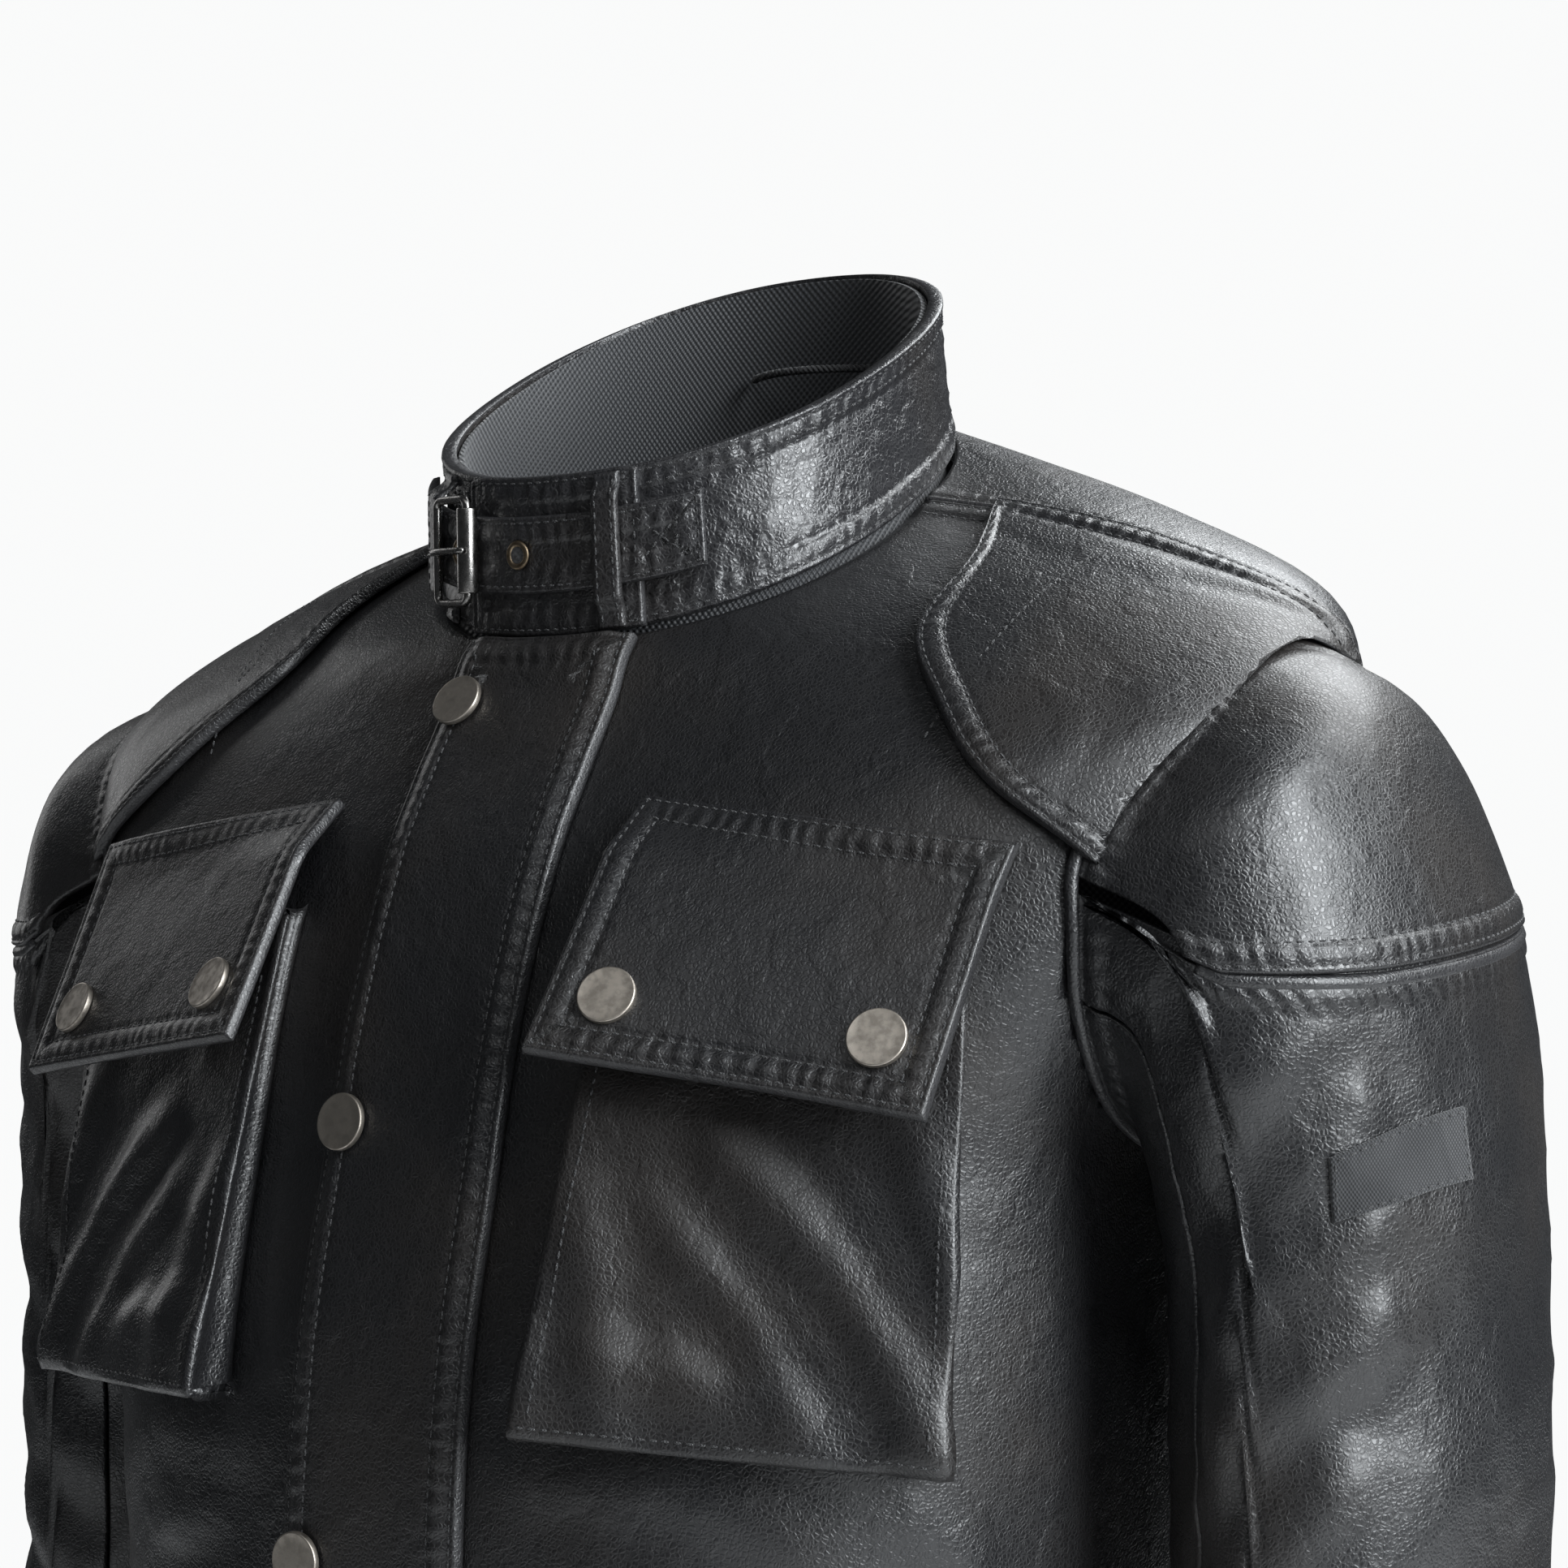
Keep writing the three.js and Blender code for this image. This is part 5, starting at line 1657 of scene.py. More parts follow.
    def box(self, rows: Thread, heights: tuple[float, float], lift: float) -> None:
        """Adds the crossed box that holds the strap's sewn end.

        Args:
            rows: thread to add to.
            heights: heights of the strap.
            lift: height of the stitches.
        """
        inset = 0.08
        low, high = heights[0] + inset, heights[1] - inset
        first, last = self.box_angles[0] + 2.0, self.box_angles[1] - 3.0
        paths = (((low, first), (high, last)), ((high, first), (low, last)),
                 ((low, first), (high, first)), ((low, last), (high, last)))
        for (v0, a0), (v1, a1) in paths:
            t = np.linspace(0, 1, 24)
            base = NECK.point(v0 + (v1 - v0) * t, a0 + (a1 - a0) * t)
            up = unit(base * np.array([1, 1, 0]))
            rows.sew(base + up * lift, up)

    def keepers(self) -> None:
        """Two loops that hold the strap: folded strips with rolled edges."""
        half = 4.0 / math.radians(NECK.front)
        strap_half = self.strap_width / 2 / NECK.height
        bridge = self.strap_lift + self.strap_leather + 0.5
        low, high = self.strap_middle - strap_half - 0.06, self.strap_middle + strap_half + 0.06
        for name, angle, seat in (("strap_keeper_left", self.keeper_angles[0], 3.4),
                                  ("strap_keeper_right", self.keeper_angles[1], 0.6)):
            def inner(v: Array, seat: float = seat) -> Array:
                """Height of the loop's inner face.

                Args:
                    v: heights, from 0 to 1.
                    seat: height of its ends.

                Returns:
                    Heights in millimetres.
                """
                beside = np.maximum(np.maximum(low - v, v - high), 0) / 0.1
                share = np.clip(beside, 0, 1)
                share = share * share * (3 - 2 * share)
                return bridge + (seat - bridge) * share
            loop = self.sheet(name, (0.03, 0.97), (angle - half, angle + half), inner,
                              lambda v, inner=inner: inner(v) + 2.0, (), 1.2,
                              lambda p, v: 0.3 * creases(p, 8, 1.5, 51), rim=1.0)
            WORKSHOP.place(loop.build(), Finish.COLLAR, nodes=[name])
            rows = Thread(name + "_stitching")
            rows.sew_edges(loop, [Edge.FIRST, Edge.LAST], rows=(1.7,), trim=2)
            WORKSHOP.place(rows.build(), Finish.THREAD)

    def buckle(self) -> None:
        """Roller buckle: a bent wire frame, a roller and a prong."""
        middle, axes = node_frame("buckle_frame")
        up = axes[0] * np.sign(axes[0][2])
        out = axes[2] * (-np.sign(axes[2][1]))
        left = np.cross(up, out)
        to_world = np.eye(4)
        to_world[:3, :3] = np.stack([left, up, out], 1)
        to_world[:3, 3] = middle * MM
        wide, tall = (size / 2 - 1.2 for size in self.buckle_size)
        bow, radius = 2.6, 1.25
        path = []
        for cx, cy, start in ((wide, tall, 0), (-wide, tall, 90), (-wide, -tall, 180), (wide, -tall, 270)):
            for turn in np.radians(start + np.array([0, 30, 60, 90])):
                x = cx - math.copysign(bow, cx) + bow * math.cos(turn)
                y = cy - math.copysign(bow, cy) + bow * math.sin(turn)
                path.append((x, y, 0.0))
        ring = wire("buckle_frame_bent", path, radius, closed=True)
        ring.data.transform(Matrix(to_world.tolist()))
        WORKSHOP.place(ring, Finish.GUNMETAL, nodes=["buckle_frame"])
        bar = self.buckle_size[0] / 2 - 1.2
        reach = self.buckle_size[0] + 2.0
        eye = 2.6
        round_bar = np.radians([-150, -100, -50, 0, 50, 100, 150])
        pin = [(-bar + eye * math.sin(turn), 0.0, -eye * math.cos(turn)) for turn in round_bar]
        pin += [(x - bar, 0.0, z) for x, z in ((3.2, 3.6), (7, 4.3), (14, 4.4), (reach, 3.9))]
        prong = wire("buckle_prong_pin", pin, 1.0)
        prong.data.transform(Matrix(to_world.tolist()))
        WORKSHOP.place(prong, Finish.GUNMETAL, "buckle_prong", ["buckle_prong"])
        self.roller(Matrix(to_world.tolist()), bar)

    def roller(self, to_world: Matrix, bar: float) -> None:
        """Roller on the buckle's outer bar, with rolled rims.

        Args:
            to_world: place of the buckle.
            bar: distance of the bar from the middle.
        """
        length, outer, inner = 25.0, 3.05, 1.75
        wake()
        bpy.ops.mesh.primitive_cylinder_add(vertices=40, radius=outer * MM, depth=length * MM,
                                            rotation=(math.pi / 2, 0, 0), location=(bar * MM, 0, 0))
        roller = bpy.context.object
        roller.name = "buckle_roller_tube"
        bpy.ops.object.transform_apply()
        bpy.ops.object.mode_set(mode="EDIT")
        bpy.ops.mesh.select_mode(type="FACE")
        bpy.ops.mesh.select_all(action="DESELECT")
        bpy.ops.object.mode_set(mode="OBJECT")
        for face in roller.data.polygons:
            face.select = len(face.vertices) > 4
        bpy.ops.object.mode_set(mode="EDIT")
        bpy.ops.mesh.inset(thickness=(outer - inner) * MM)
        bpy.ops.mesh.bridge_edge_loops()
        bpy.ops.object.mode_set(mode="OBJECT")
        apply_modifier(roller, "BEVEL", width=0.35 * MM, segments=2, limit_method="ANGLE")
        roller.data.transform(to_world)
        face_out(roller)
        WORKSHOP.place(roller, Finish.GUNMETAL, "buckle_roller", ["buckle_roller"])

    def eyelets(self) -> None:
        """Brass eyelets of the strap, each with a dark matt disc in its hole as painted shade."""
        for name in ("eyelet_front", "eyelet_end"):
            middle, axes = node_frame(name)
            out = axes[2] * (-np.sign(axes[2][1]))
            place = turned(out, middle - out * 0.2)
            wake()
            bpy.ops.mesh.primitive_torus_add(major_radius=3.35 * MM, minor_radius=0.95 * MM,
                                             major_segments=48, minor_segments=14)
            ring = bpy.context.object
            ring.name = name + "_ring"
            flat = corners(ring)
            flat[:, 2] *= 0.62
            set_corners(ring, flat)
            ring.data.transform(place)
            face_out(ring)
            WORKSHOP.place(ring, Finish.BRASS, nodes=[name])
            # painted shade: a dark matt cloth disc fills the hole, since the strap under it is not pierced
            bpy.ops.mesh.primitive_cylinder_add(vertices=32, radius=2.5 * MM, depth=0.5 * MM)
            hole = bpy.context.object
            hole.name = name + "_hole"
            apply_modifier(hole, "BEVEL", width=0.15 * MM, segments=2)
            hole.data.transform(place)
            face_out(hole)
            WORKSHOP.place(hole, Finish.TAPE)

    def hanger(self) -> None:
        """Hanger loop inside the collar: a twisted cord between its sewn ends."""
        low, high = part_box("hanger_loop")
        low, high = np.array(low) / MM, np.array(high) / MM
        radius = 1.5
        t = np.linspace(-1, 1, 60)
        x = t * (high[0] - radius)
        y = low[1] + radius + (high[1] - low[1] - 2 * radius) * t ** 2
        z = (low[2] + high[2]) / 2 + 0 * t
        phase = t * 30
        strands = []
        for k in range(3):
            turn = phase + k * 2 * math.pi / 3
            line = np.stack([x, y + 0.62 * np.cos(turn), z + 0.62 * np.sin(turn)], -1)
            strands.append(wire(f"hanger_loop_strand_{k + 1}", line, 0.8))
        for k, strand in enumerate(strands):
            WORKSHOP.place(strand, Finish.TAPE, nodes=["hanger_loop"] if k == 0 else ())

    def build(self) -> None:
        """Builds the collar in order."""
        self.stand()
        self.tab()
        self.strap()
        self.keepers()
        self.buckle()
        self.eyelets()
        self.hanger()
        WORKSHOP.place(self.thread.build(), Finish.THREAD)


def wire(name: str, path: Sequence, radius: float, closed: bool = False) -> bpy.types.Object:
    """Round rod along a path, as a closed mesh.

    Args:
        name: name of the piece.
        path: points in millimetres.
        radius: radius of the rod.
        closed: whether its ends meet.

    Returns:
        The new object.
    """
    curve = bpy.data.curves.new(name, "CURVE")
    curve.dimensions = "3D"
    curve.bevel_depth = radius * MM
    curve.bevel_resolution = 4
    curve.use_fill_caps = not closed
    spline = curve.splines.new("NURBS")
    spline.points.add(len(path) - 1)
    for point, place in zip(spline.points, path):
        point.co = (*(float(c) * MM for c in place), 1.0)
    spline.order_u = 3
    spline.use_cyclic_u = closed
    spline.use_endpoint_u = not closed
    spline.resolution_u = 5
    obj = bpy.data.objects.new(name, curve)
    bpy.context.scene.collection.objects.link(obj)
    wake()
    obj.select_set(True)
    bpy.context.view_layer.objects.active = obj
    bpy.ops.object.convert(target="MESH")
    obj = bpy.context.object
    obj.name = name
    bpy.ops.object.mode_set(mode="EDIT")
    bpy.ops.mesh.select_all(action="SELECT")
    bpy.ops.mesh.remove_doubles(threshold=0.00001)
    bpy.ops.object.mode_set(mode="OBJECT")
    face_out(obj)
    return obj


# ---------------------------------------------------------------- snaps
@dataclass
class Snaps:
    """Ring of snap caps: flat faces with a turned-down rim and a faint dome."""

    vertices: int = 56

    def cap(self, name: str, radius: float, height: float) -> bpy.types.Object:
        """One cap at the origin, its face up.

        Args:
            name: name of the piece.
            radius: radius of the cap.
            height: height of the cap.

        Returns:
            The new object.
        """
        wake()
        bpy.ops.mesh.primitive_cylinder_add(vertices=self.vertices, radius=radius * MM,
                                            depth=height * MM, location=(0, 0, height / 2 * MM))
        cap = bpy.context.object
        cap.name = name
        bpy.ops.object.transform_apply()
        for share, lift in ((0.94, 0.0), (0.86, -0.12), (0.6, 0.03), (0.3, 0.06)):
            wake()
            cap.select_set(True)
            bpy.context.view_layer.objects.active = cap
            for face in cap.data.polygons:
                face.select = len(face.vertices) > 4 and face.center.z > height * MM * 0.5
            inner = min(math.hypot(*cap.data.vertices[i].co.xy) for f in cap.data.polygons
                        if f.select for i in f.vertices)
            bpy.ops.object.mode_set(mode="EDIT")
            bpy.ops.mesh.select_mode(type="FACE")
            bpy.ops.mesh.inset(thickness=max(inner - share * radius * MM, 1e-5))
            bpy.ops.transform.translate(value=(0, 0, lift * MM))
            bpy.ops.object.mode_set(mode="OBJECT")
        apply_modifier(cap, "BEVEL", width=0.4 * MM, segments=3, limit_method="ANGLE",
                       angle_limit=math.radians(50))
        face_out(cap)
        return cap

    def build(self) -> None:
        """A cap for every snap of the frame."""
        for body, nodes in frame["record"]["behaviour"]["bodies"].items():
            for node in nodes:
                if "_snap" not in node:
                    continue
                middle, axes = node_frame(node)
                out = axes[2] * (1 if axes[2] @ self.outward(node, middle) > 0 else -1)
                co = corners(frame["nodes"][node]) / MM
                along_axis = (co - middle) @ out
                radius = 6.5 if "cuff" in node else 8.0
                cap = self.cap(node + "_cap", radius, float(np.ptp(along_axis)))
                spin = np.array([math.cos(len(node)), 0.2, math.sin(len(node))])
                cap.data.transform(turned(out, middle + out * along_axis.min(), spin))
                WORKSHOP.place(cap, Finish.NICKEL, body, [node])

    def outward(self, node: str, middle: Array) -> Array:
        """Direction out of the jacket at a snap.

        Args:
            node: name of the node.
            middle: its middle.

        Returns:
            Direction, not of unit length.
        """
        if "cuff" not in node:
            return np.array([0.0, -1, 0])
        side = 1 if middle[0] > 0 else -1
        return middle - np.array([side * 239.0, -14.0, middle[2]])


# ---------------------------------------------------------------- placket and zip
@dataclass
class Closure:
    """Storm placket over a two-way zip."""

    half: float = 30.5
    lift: float = 2.1
    top_station: float = 11.7
    waist: float = 0.72

    def placket(self) -> None:
        """Storm placket: a doubled strip with two rows of stitches along both edges."""
        rows, columns = stops(640, 4.0), stops(61, 3.0)
        s = (0.06 + (self.top_station - 0.06) * rows)[:, None] + 0 * columns
        x = -self.half + 2 * self.half * columns + 0 * s
        points = body_point(s, angle_at_x(s, x))
        hump = self.lift / (1 + np.exp((np.abs(x) - 25.5) / 1.1))
        centre = points * np.array([0, 0, 1.0]) - np.array([0, 0, 40.0])
        wrinkle = 0.5 * creases(points, 30, 1.6, 61)
        inner = 0.6 + np.where(np.abs(x) < 28.0, hump, 0) - wrinkle
        sheet = Sheet("storm_placket", points, centre, inner, 3.6 + hump, tuple(Edge),
                      wrinkle, welt=0.8, rim=1.5)
        middle = sheet.front[len(rows) // 2]
        bend = (np.array([30.5, middle[-1][1], 315.0]), np.array([20.0, middle[-1][1], 315.0]))
        thread = Thread("storm_placket_stitching")
        thread.sew_edges(sheet, [Edge.FIRST, Edge.LAST])
        thread.sew_edges(sheet, [Edge.LOW], rows=STITCH_ROWS[:1])
        WORKSHOP.fold(sheet.build(), Finish.SHELL, "storm_placket", bend, ["storm_placket"])
        WORKSHOP.fold(thread.build(), Finish.THREAD, "storm_placket", bend)

    def zip(self) -> None:
        """Zip tapes keep their frame shape; teeth and sliders are added."""
        for name in ("left_zip_tape", "right_zip_tape"):
            WORKSHOP.coat(frame["nodes"][name], Finish.TAPE)
        teeth = Thread("zip_teeth")
        s = np.linspace(0.1, self.top_station - 0.6, 400)
        for side in SIDES.values():
            line = body_point(s, angle_at_x(s, 1.9 + 0 * s))
            up = unit(np.cross(np.gradient(line, axis=0), np.array([1.0, 0, 0])))
            up = up * np.sign(-up[:, 1:2])
            teeth.sew(line - up * 0.55, up, side, 2.4)
        WORKSHOP.place(teeth.build((0.75, 1.45, 0.85)), Finish.GUNMETAL)
        for node in ("zip_top_slider", "zip_bottom_slider"):
            self.slider(node)

    def slider(self, node: str) -> None:
        """Zip slider: a waisted body with a bridge.

        Args:
            node: name of the node.
        """
        middle, axes = node_frame(node)
        out = axes[2] * -np.sign(axes[2][1])
        bpy.ops.mesh.primitive_cube_add(size=1)
        body = bpy.context.object
        body.name = node + "_body"
        flat = corners(body) * np.array([8.4, 13.0, 2.0]) * MM
        flat[:, 0] *= np.where(flat[:, 1] * math.copysign(1, middle[2] - 300) > 0, self.waist, 1.0)
        set_corners(body, flat)
        apply_modifier(body, "BEVEL", width=0.8 * MM, segments=3)
        wake()
        bpy.ops.mesh.primitive_cube_add(size=1)
        bridge = bpy.context.object
        set_corners(bridge, corners(bridge) * np.array([1.8, 8.0, 0.5]) * MM + np.array([0, 0, 0.0010]))
        apply_modifier(bridge, "BEVEL", width=0.2 * MM, segments=2)
        body.select_set(True)
        bridge.select_set(True)
        bpy.context.view_layer.objects.active = body
        bpy.ops.object.join()
        body.data.transform(turned(out, middle))
        body.data.shade_smooth()
        WORKSHOP.place(body, Finish.GUNMETAL, node, [node])

    def build(self) -> None:
        """Builds the closure in order."""
        self.placket()
        self.zip()


# ---------------------------------------------------------------- pockets
@dataclass(frozen=True)
class PocketPlan:
    """One pocket of the wearer's left side and its flap.

    Each corner is x, z and how far it stands in front of the body there.
    """

    place: str
    bag: tuple
    seat_share: float
    flap: tuple
    band: float
    folds: tuple[Fold, ...]


CHEST = PocketPlan(
    "chest",
    ((57, 545, 9), (158, 534, 3), (55, 410, 22), (163, 403, 26)),
    0.84,
    ((55, 561, 15), (162, 549, 2.5), (52, 509, 28), (159, 494, 34)),
    12.0,
    (
        Fold((100, 484), (157, 410), 8, 5.0),
        Fold((84, 470), (128, 412), 7, 2.6),
        Fold((66, 470), (80, 416), 7, 2.6),
        Fold((140, 505), (160, 440), 7, 3.0),
        Fold((62, 428), (120, 418), 8, 2.2),
    ),
)
LOWER = PocketPlan(
    "lower",
    ((52, 194, 8), (140, 194, 24), (50, 42, 24), (146, 42, 42)),
    0.9,
    ((49, 202, 10), (143, 202, 30), (47, 152, 22), (147, 152, 46)),
    0.0,
    (
        Fold((70, 140), (130, 60), 9, 3.2),
        Fold((60, 110), (84, 55), 8, 2.4),
        Fold((118, 150), (140, 90), 8, 2.2),
    ),
)


def standing(corner: Sequence[float]) -> Array:
    """Point in front of the body, from x, z and the distance that it stands off."""
    x, z, off = corner
    return np.array([x, float(front_hit(min(x, 148.0), z)[1]) - off, z])


def quad(corners_of: Sequence, down: Array, across: Array) -> Array:
    """Points of a four-cornered face, from its top edge down and its inner edge out.

    Args:
        corners_of: corners, from the top inner one.
        down: shares down.
        across: shares across.

    Returns:
        Points in millimetres.
    """
    a, b, c, d = (standing(corner) for corner in corners_of)
    down, across = down[..., None], across[..., None]
    return (a + (b - a) * across) * (1 - down) + (c + (d - c) * across) * down


def settle(points: Array, held: Array, reach: float, pressure: float) -> Array:
    """Lets cloth hang and swell from its held points.

    Args:
        points: grid of points in millimetres.
        held: which points stay.
        reach: furthest that a point may move.
        pressure: pressure behind the cloth.

    Returns:
        The settled points.
    """
    rows, columns = points.shape[:2]
    wake()
    bpy.ops.mesh.primitive_grid_add(x_subdivisions=columns - 1, y_subdivisions=rows - 1, size=2)
    cloth = bpy.context.object
    flat = corners(cloth)
    i = np.rint((flat[:, 1] + 1) / 2 * (rows - 1)).astype(int)
    j = np.rint((flat[:, 0] + 1) / 2 * (columns - 1)).astype(int)
    set_corners(cloth, points[i, j] * MM)
    group = cloth.vertex_groups.new(name="held")
    group.add([int(k) for k in np.nonzero(held[i, j])[0]], 1.0, "REPLACE")
    cloth.modifiers.new("cloth", "CLOTH")
    settings = cloth.modifiers["cloth"].settings
    settings.vertex_group_mass = "held"
    settings.quality = 6
    settings.mass = 0.9
    settings.tension_stiffness = 40
    settings.compression_stiffness = 30
    settings.bending_stiffness = 6
    settings.shrink_min = -0.035
    settings.use_pressure = True
    settings.uniform_pressure_force = pressure
    scene = bpy.context.scene
    frames = 16
    cloth.modifiers["cloth"].point_cache.frame_end = frames
    for step in range(1, frames + 1):
        scene.frame_set(step)
    settled = cloth.evaluated_get(bpy.context.evaluated_depsgraph_get())
    moved = np.empty(len(flat) * 3)
    settled.data.vertices.foreach_get("co", moved)
    moved = moved.reshape(-1, 3) / MM
    scene.frame_set(1)
    bpy.data.objects.remove(cloth)
    shift = moved - points[i, j]
    size = np.linalg.norm(shift, axis=1, keepdims=True)
    shift = np.where(np.isfinite(size), shift * np.minimum(1, reach / np.maximum(size, 1e-6)), 0)
    result = points.copy()
    result[i, j] = points[i, j] + shift
    return result


def soften(points: Array, times: int, held: Array) -> Array:
    """Grid of points averaged with its neighbours, apart from held ones."""
    for _ in range(times):
        wide = np.pad(points, ((1, 1), (1, 1), (0, 0)), mode="edge")
        mean = (wide[:-2, 1:-1] + wide[2:, 1:-1] + wide[1:-1, :-2] + wide[1:-1, 2:]) / 4
        points = np.where(held[..., None], points, (points + mean) / 2)
    return points


@dataclass
class Pocket:
    """Bellows pocket with a snapped flap, on both sides of the jacket."""

    plan: PocketPlan
    gusset: int = 7
    columns: int = 34
    rows: int = 42
    pleat: float = 3.2
    thread: Thread = field(init=False)

    def __post_init__(self) -> None:
        """Starts the thread of the pocket's own rows."""
        self.thread = Thread(self.plan.place + "_pocket_stitching")

    def layout(self) -> tuple[Array, Array, Array]:
        """Grid of the opened-out bag: gusset, front and gusset side by side, gusset below.

        Returns:
            Shares down and across the front, and how far each point rises from the body.
        """
        flat, edge = np.zeros(self.gusset), np.ones(self.gusset)
        up = np.linspace(0, 1, self.gusset + 1)[:-1]
        front_across = np.linspace(0, 1, self.columns + 1)
        across = np.concatenate([flat, front_across, edge])
        rise_across = np.concatenate([up, np.ones(self.columns + 1), up[::-1]])
        down = np.concatenate([np.linspace(0, 1, self.rows + 1), edge])[:, None]
        rise_down = np.concatenate([np.ones(self.rows + 1), up[::-1]])[:, None]
        rise = np.minimum(rise_down, rise_across)
        return down + 0 * rise, across + 0 * rise, rise

    def shape(self) -> tuple[Array, Array, Array]:
        """Points of the bag, pleated along its gussets and settled as cloth.

        Returns:
            Points, shares down the front, and how far each point rises from the body.
        """
        plan = self.plan
        down, across, rise = self.layout()
        face = quad(plan.bag, down, across)
        inner = min(plan.bag[0][0], plan.bag[2][0])
        seat = front_point(inner + (face[..., 0] - inner) * plan.seat_share, face[..., 2], 1.2)
        points = seat + (face - seat) * rise[..., None]
        held = rise < 0.01
        pleat = bell(rise, 0.5, 0.28) * (rise < 0.98) * (np.arange(len(rise)) <= self.rows)[:, None]
        inwards = np.where(across < 0.5, 1.0, -1.0)
        points = points + (pleat * inwards * self.pleat)[..., None] * np.array([1.0, 0, 0])
        points = soften(points, 3, held)
        points = settle(points, held | (down < 0.16), 5.0, 1.3)
        return soften(points, 1, held), down, rise

    def bag(self) -> None:
        """Bellows bag: two sides, front and bottom, open at the top."""
        points, down, rise = self.shape()
        centre = points * np.array([0.9, 0, 1.0]) + np.array([10.0, 0, 0])
        relief = fold_relief(points, self.plan.folds, self.on_face) + creases(points, 20, 1.3, 71)
        relief = np.maximum(relief, -1.4) * np.where(rise > 0.9, 1, 0.2) * (down > 0.1)
        relief = relief + 0.8 * bell(rise, 0.92, 0.1)
        sheet = Sheet(self.plan.place + "_pocket", points, centre, -1.9, 0.0, (), relief, 0.0, 1.0)
        for name, side in SIDES.items():
            sheet.name = f"{name}_{self.plan.place}_pocket"
            WORKSHOP.place(sheet.build(side), Finish.SHELL, nodes=[sheet.name])
            self.sew_bag(sheet, side)

    def sew_bag(self, sheet: Sheet, side: float) -> None:
        """Sews rows beside the bag's side and bottom edges.

        Args:
            sheet: the bag.
            side: 1 for the wearer's left, -1 for the right.
        """
        tall = slice(6, self.rows - 1)
        for column in (self.gusset + 2, self.gusset + self.columns - 2):
            up = sheet.normal[tall, column]
            self.thread.sew(sheet.front[tall, column] + up * 0.1, up, side)
        low, wide = self.rows - 1, slice(self.gusset + 1, self.gusset + self.columns)
        self.thread.sew(sheet.front[low, wide], sheet.normal[low, wide], side)

    def on_face(self, x: Array, z: Array) -> Array:
        """Points of the bag's front at x and z.

        Args:
            x: distances to the wearer's left.
            z: heights.

        Returns:
            Points in millimetres.
        """
        top, bottom = self.plan.bag[0][1], self.plan.bag[2][1]
        inner, outer = self.plan.bag[0][0], self.plan.bag[1][0]
        down = (top - np.asarray(z)) / (top - bottom)
        return quad(self.plan.bag, down, (np.asarray(x) - inner) / (outer - inner))

    def flap(self) -> None:
        """Flap and its band as one doubled sheet."""
        plan = self.plan
        hinge_in, hinge_out = standing(plan.flap[0]), standing(plan.flap[1])
        low_in, low_out = standing(plan.flap[2]), standing(plan.flap[3])
        columns = stops(108, 2.6)
        if plan.band:
            foot = hinge_in + (hinge_out - hinge_in) * columns[:, None]
            band_rows = np.array([0, 0.03, 0.08, 0.15, 0.24, 0.36, 0.5, 0.65, 0.8, 0.92])
            top = front_point(foot[:, 0], foot[:, 2] + 0.6 + plan.band, 4.2)
            band = top + (foot - top) * (band_rows[:, None, None] ** 1.3)
        share = stops(53, 2.4, plan.band == 0, True)
        leaf = quad(plan.flap, share[:, None] + 0 * columns, columns + 0 * share[:, None])
        bulge = 1.6 * np.sin(np.pi * share)[:, None] * np.sin(np.pi * columns)
        wave = 0.9 * np.sin(2.2 * math.pi * columns + 0.6) * (share ** 2)[:, None]
        leaf = leaf + (bulge + wave)[..., None] * np.array([0, -1.0, 0])
        points = np.concatenate([band, leaf]) if plan.band else leaf
        if plan.band:
            points = soften(points, 3, self.border(points))
        centre = points * np.array([1.0, 0, 1.0])
        relief = 0.45 * creases(points, 14, 1.2, 81)
        sheet = Sheet(plan.place + "_flap", points, centre, -3.0, 0.0, tuple(Edge), relief, 0.6, 1.3)
        drop = unit((low_in + low_out) / 2 - (hinge_in + hinge_out) / 2)
        middle = (hinge_in + hinge_out) / 2
        down = drop - unit(hinge_out - hinge_in) * (drop @ unit(hinge_out - hinge_in))
        for name, side in SIDES.items():
            title = f"{name}_{plan.place}_flap"
            sheet.name = title
            mirror = np.array([side, 1, 1])
            bend = ((middle - down * 2.0) * mirror, (middle + down * 7.0) * mirror)
            rows = Thread(title + "_stitching")
            rows.sew_edges(sheet, list(Edge), side)
            nodes = [title] + ([title + "_band"] if plan.band else [])
            WORKSHOP.fold(sheet.build(side), Finish.SHELL, title, bend, nodes)
            WORKSHOP.fold(rows.build(), Finish.THREAD, title, bend)

    def border(self, points: Array) -> Array:
        """Marks the outline of a grid.

        Args:
            points: points.

        Returns:
            One flag for each point.
        """
        held = np.zeros(points.shape[:2], bool)
        held[[0, -1]] = True
        held[:, [0, -1]] = True
        return held

    def build(self) -> None:
        """Builds the pocket in order."""
        self.bag()
        self.flap()
        WORKSHOP.place(self.thread.build(), Finish.THREAD)


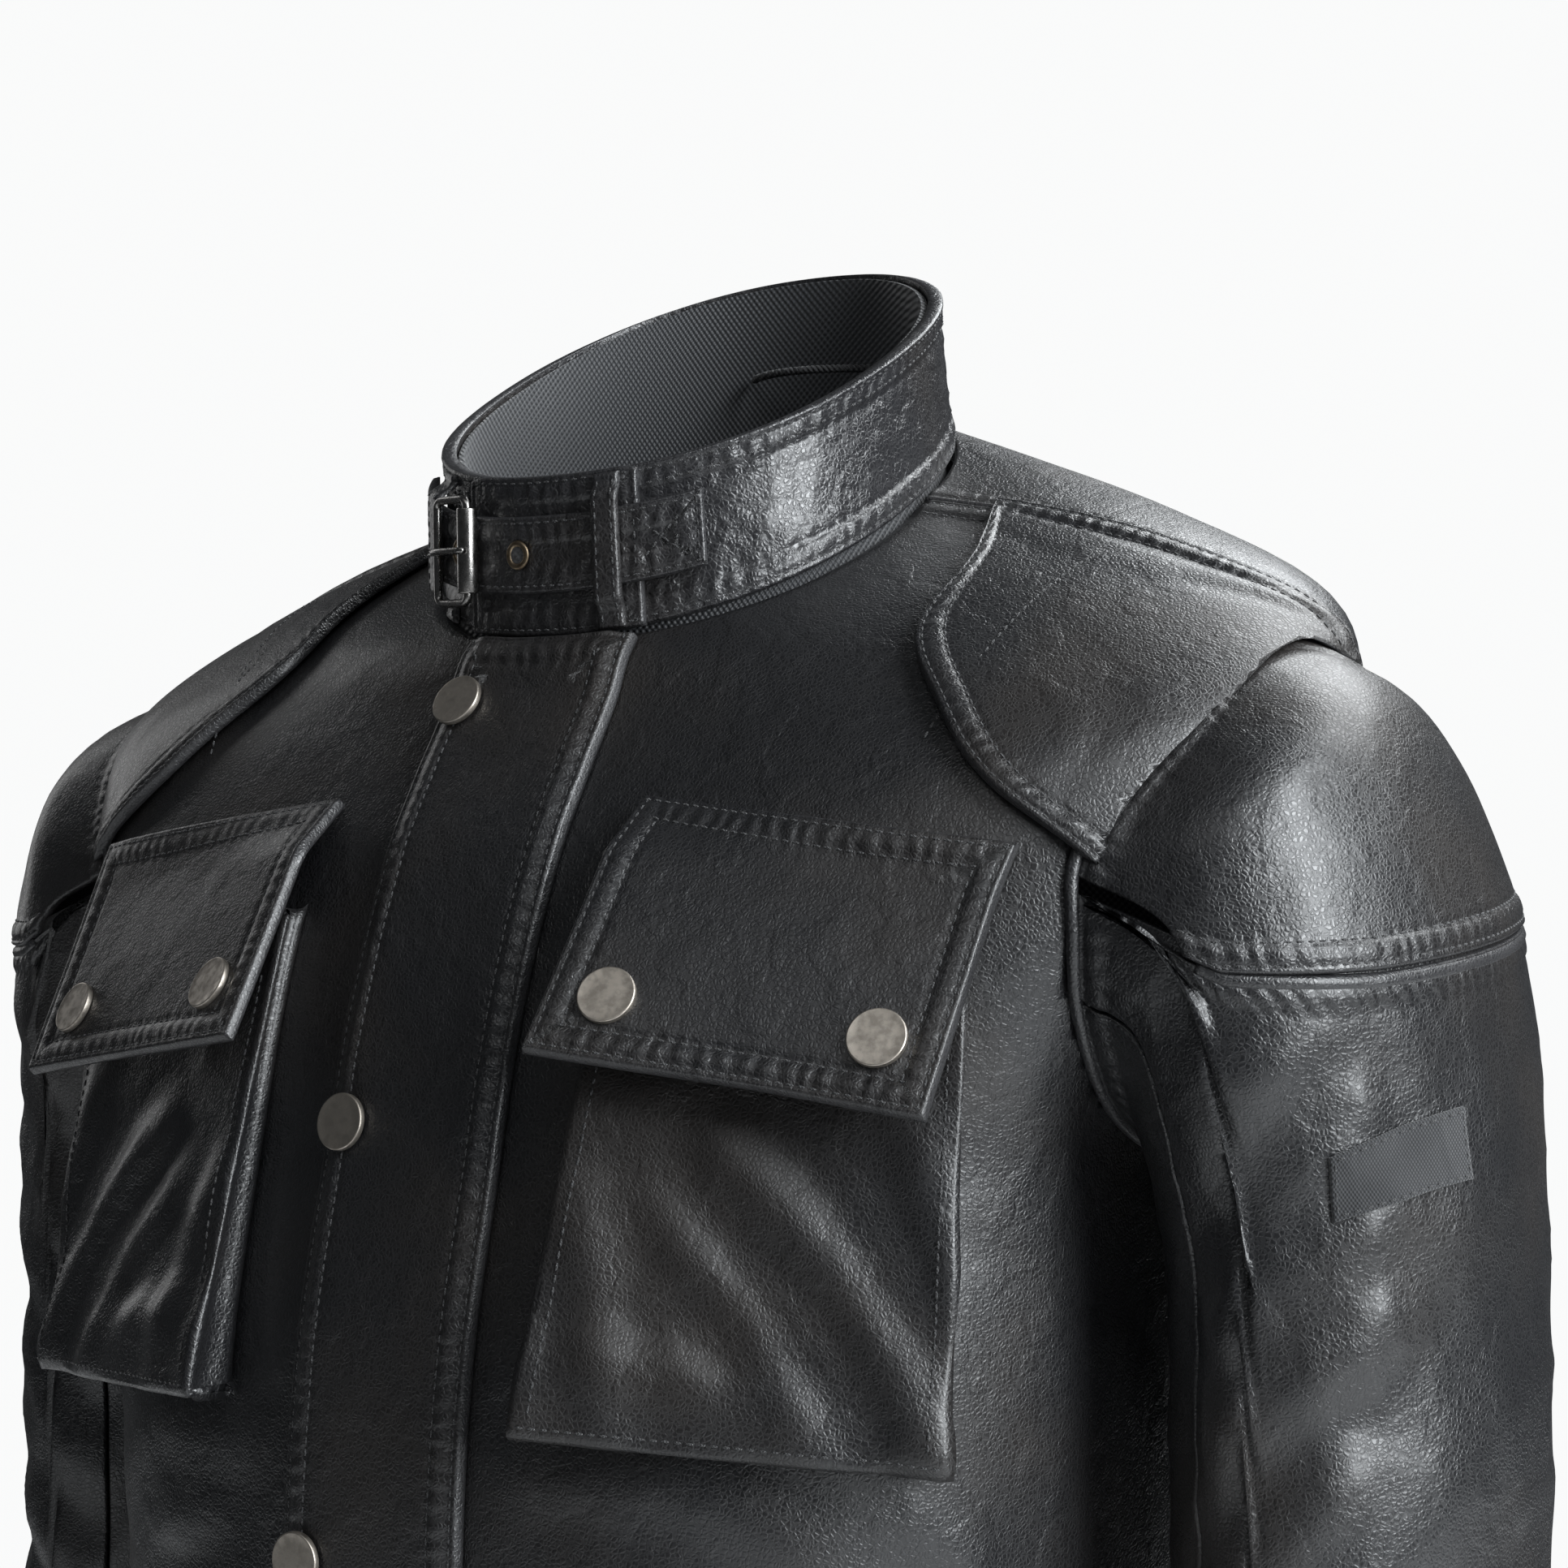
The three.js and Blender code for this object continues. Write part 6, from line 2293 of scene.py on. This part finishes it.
# ---------------------------------------------------------------- studio
@dataclass
class Studio:
    """Pale floor, soft light and the camera."""

    azimuth: float = 34.0
    distance: float = 1.0
    eye_height: float = 0.56
    aside: float = 0.026
    tilt: float = 1.2
    lens: float = 74.5

    def floor(self) -> None:
        """Pale floor under the hem."""
        wake()
        bpy.ops.mesh.primitive_circle_add(vertices=96, radius=1.3, fill_type="NGON",
                                          location=(0, 0, -0.0005))
        floor = bpy.context.object
        floor.name = "studio_floor"
        g = Graph("studio_floor")
        tone = g.mix(g.noise(3.0, 2.0), (0.8, 0.8, 0.8), (0.86, 0.86, 0.86))
        floor.data.materials.append(g.finish(Base_Color=tone, Roughness=0.9))

    def world(self) -> None:
        """Pale surroundings that light the leather only softly."""
        world = bpy.data.worlds.new("studio")
        bpy.context.scene.world = world
        world.use_nodes = True
        tree = world.node_tree
        output = tree.nodes["World Output"]
        soft = tree.nodes["Background"]
        soft.inputs["Color"].default_value = (0.9, 0.95, 1.0, 1)
        soft.inputs["Strength"].default_value = 0.05
        bright = tree.nodes.new("ShaderNodeBackground")
        bright.inputs["Color"].default_value = (0.955, 0.96, 0.96, 1)
        seen = tree.nodes.new("ShaderNodeLightPath")
        mixed = tree.nodes.new("ShaderNodeMixShader")
        tree.links.new(seen.outputs["Is Camera Ray"], mixed.inputs[0])
        tree.links.new(soft.outputs[0], mixed.inputs[1])
        tree.links.new(bright.outputs[0], mixed.inputs[2])
        tree.links.new(mixed.outputs[0], output.inputs["Surface"])

    def lamp(self, name: str, place: tuple, aim: tuple, size: tuple, power: float,
             colour: tuple = (1, 1, 1)) -> None:
        """Adds one rectangular soft light.

        Args:
            name: name of the light.
            place: where it stands.
            aim: point that it faces.
            size: width and height.
            power: watts.
            colour: its colour.
        """
        light = bpy.data.lights.new(name, "AREA")
        light.shape = "RECTANGLE"
        light.size, light.size_y = size
        light.energy = power
        light.color = colour
        obj = bpy.data.objects.new(name, light)
        obj.location = place
        obj.rotation_euler = (Vector(aim) - Vector(place)).to_track_quat("-Z", "Y").to_euler()
        bpy.context.scene.collection.objects.link(obj)

    def camera(self) -> None:
        """Camera level with the shoulders, towards the wearer's left front."""
        turn = math.radians(self.azimuth)
        away = Vector((math.sin(turn), -math.cos(turn), 0))
        right = Vector((math.cos(turn), math.sin(turn), 0))
        eye = away * self.distance + right * self.aside + Vector((0, 0, self.eye_height))
        look = -away + Vector((0, 0, math.tan(math.radians(self.tilt))))
        data = bpy.data.cameras.new("view")
        data.lens = self.lens
        data.sensor_width = 36
        data.clip_start = 0.01
        camera = bpy.data.objects.new("view", data)
        camera.location = eye
        camera.rotation_euler = look.to_track_quat("-Z", "Y").to_euler()
        bpy.context.scene.collection.objects.link(camera)
        bpy.context.scene.camera = camera

    def build(self) -> None:
        """Sets up the studio."""
        self.camera()
        self.world()
        self.floor()
        bpy.context.scene.view_settings.view_transform = "Standard"
        self.lamp("key_right", (1.62, -0.33, 1.15), (0.15, 0, 0.5), (0.6, 1.5), 62, (0.93, 0.97, 1.0))
        self.lamp("top_back", (0.5, 0.9, 1.7), (0.1, 0, 0.6), (1.6, 0.6), 27, (0.95, 0.98, 1.0))
        self.lamp("front_soft", (0.1, -1.6, 2.2), (0.0, 0, 0.45), (1.4, 0.8), 3)
        self.lamp("high_fill", (1.0, -1.2, 1.9), (0.15, 0, 0.5), (0.8, 0.8), 6, (0.93, 0.97, 1.0))
        self.lamp("left_rim", (-1.6, 0.35, 1.1), (0, 0, 0.5), (0.5, 1.2), 2.5)


def main() -> None:
    """Builds the jacket, piece by piece, and its studio."""
    Studio().build()
    Shell().build()
    ShoulderPatch().build()
    Sleeves().build()
    Collar().build()
    Closure().build()
    for plan in (CHEST, LOWER):
        Pocket(plan).build()
    Snaps().build()


if __name__ == "__main__":
    main()
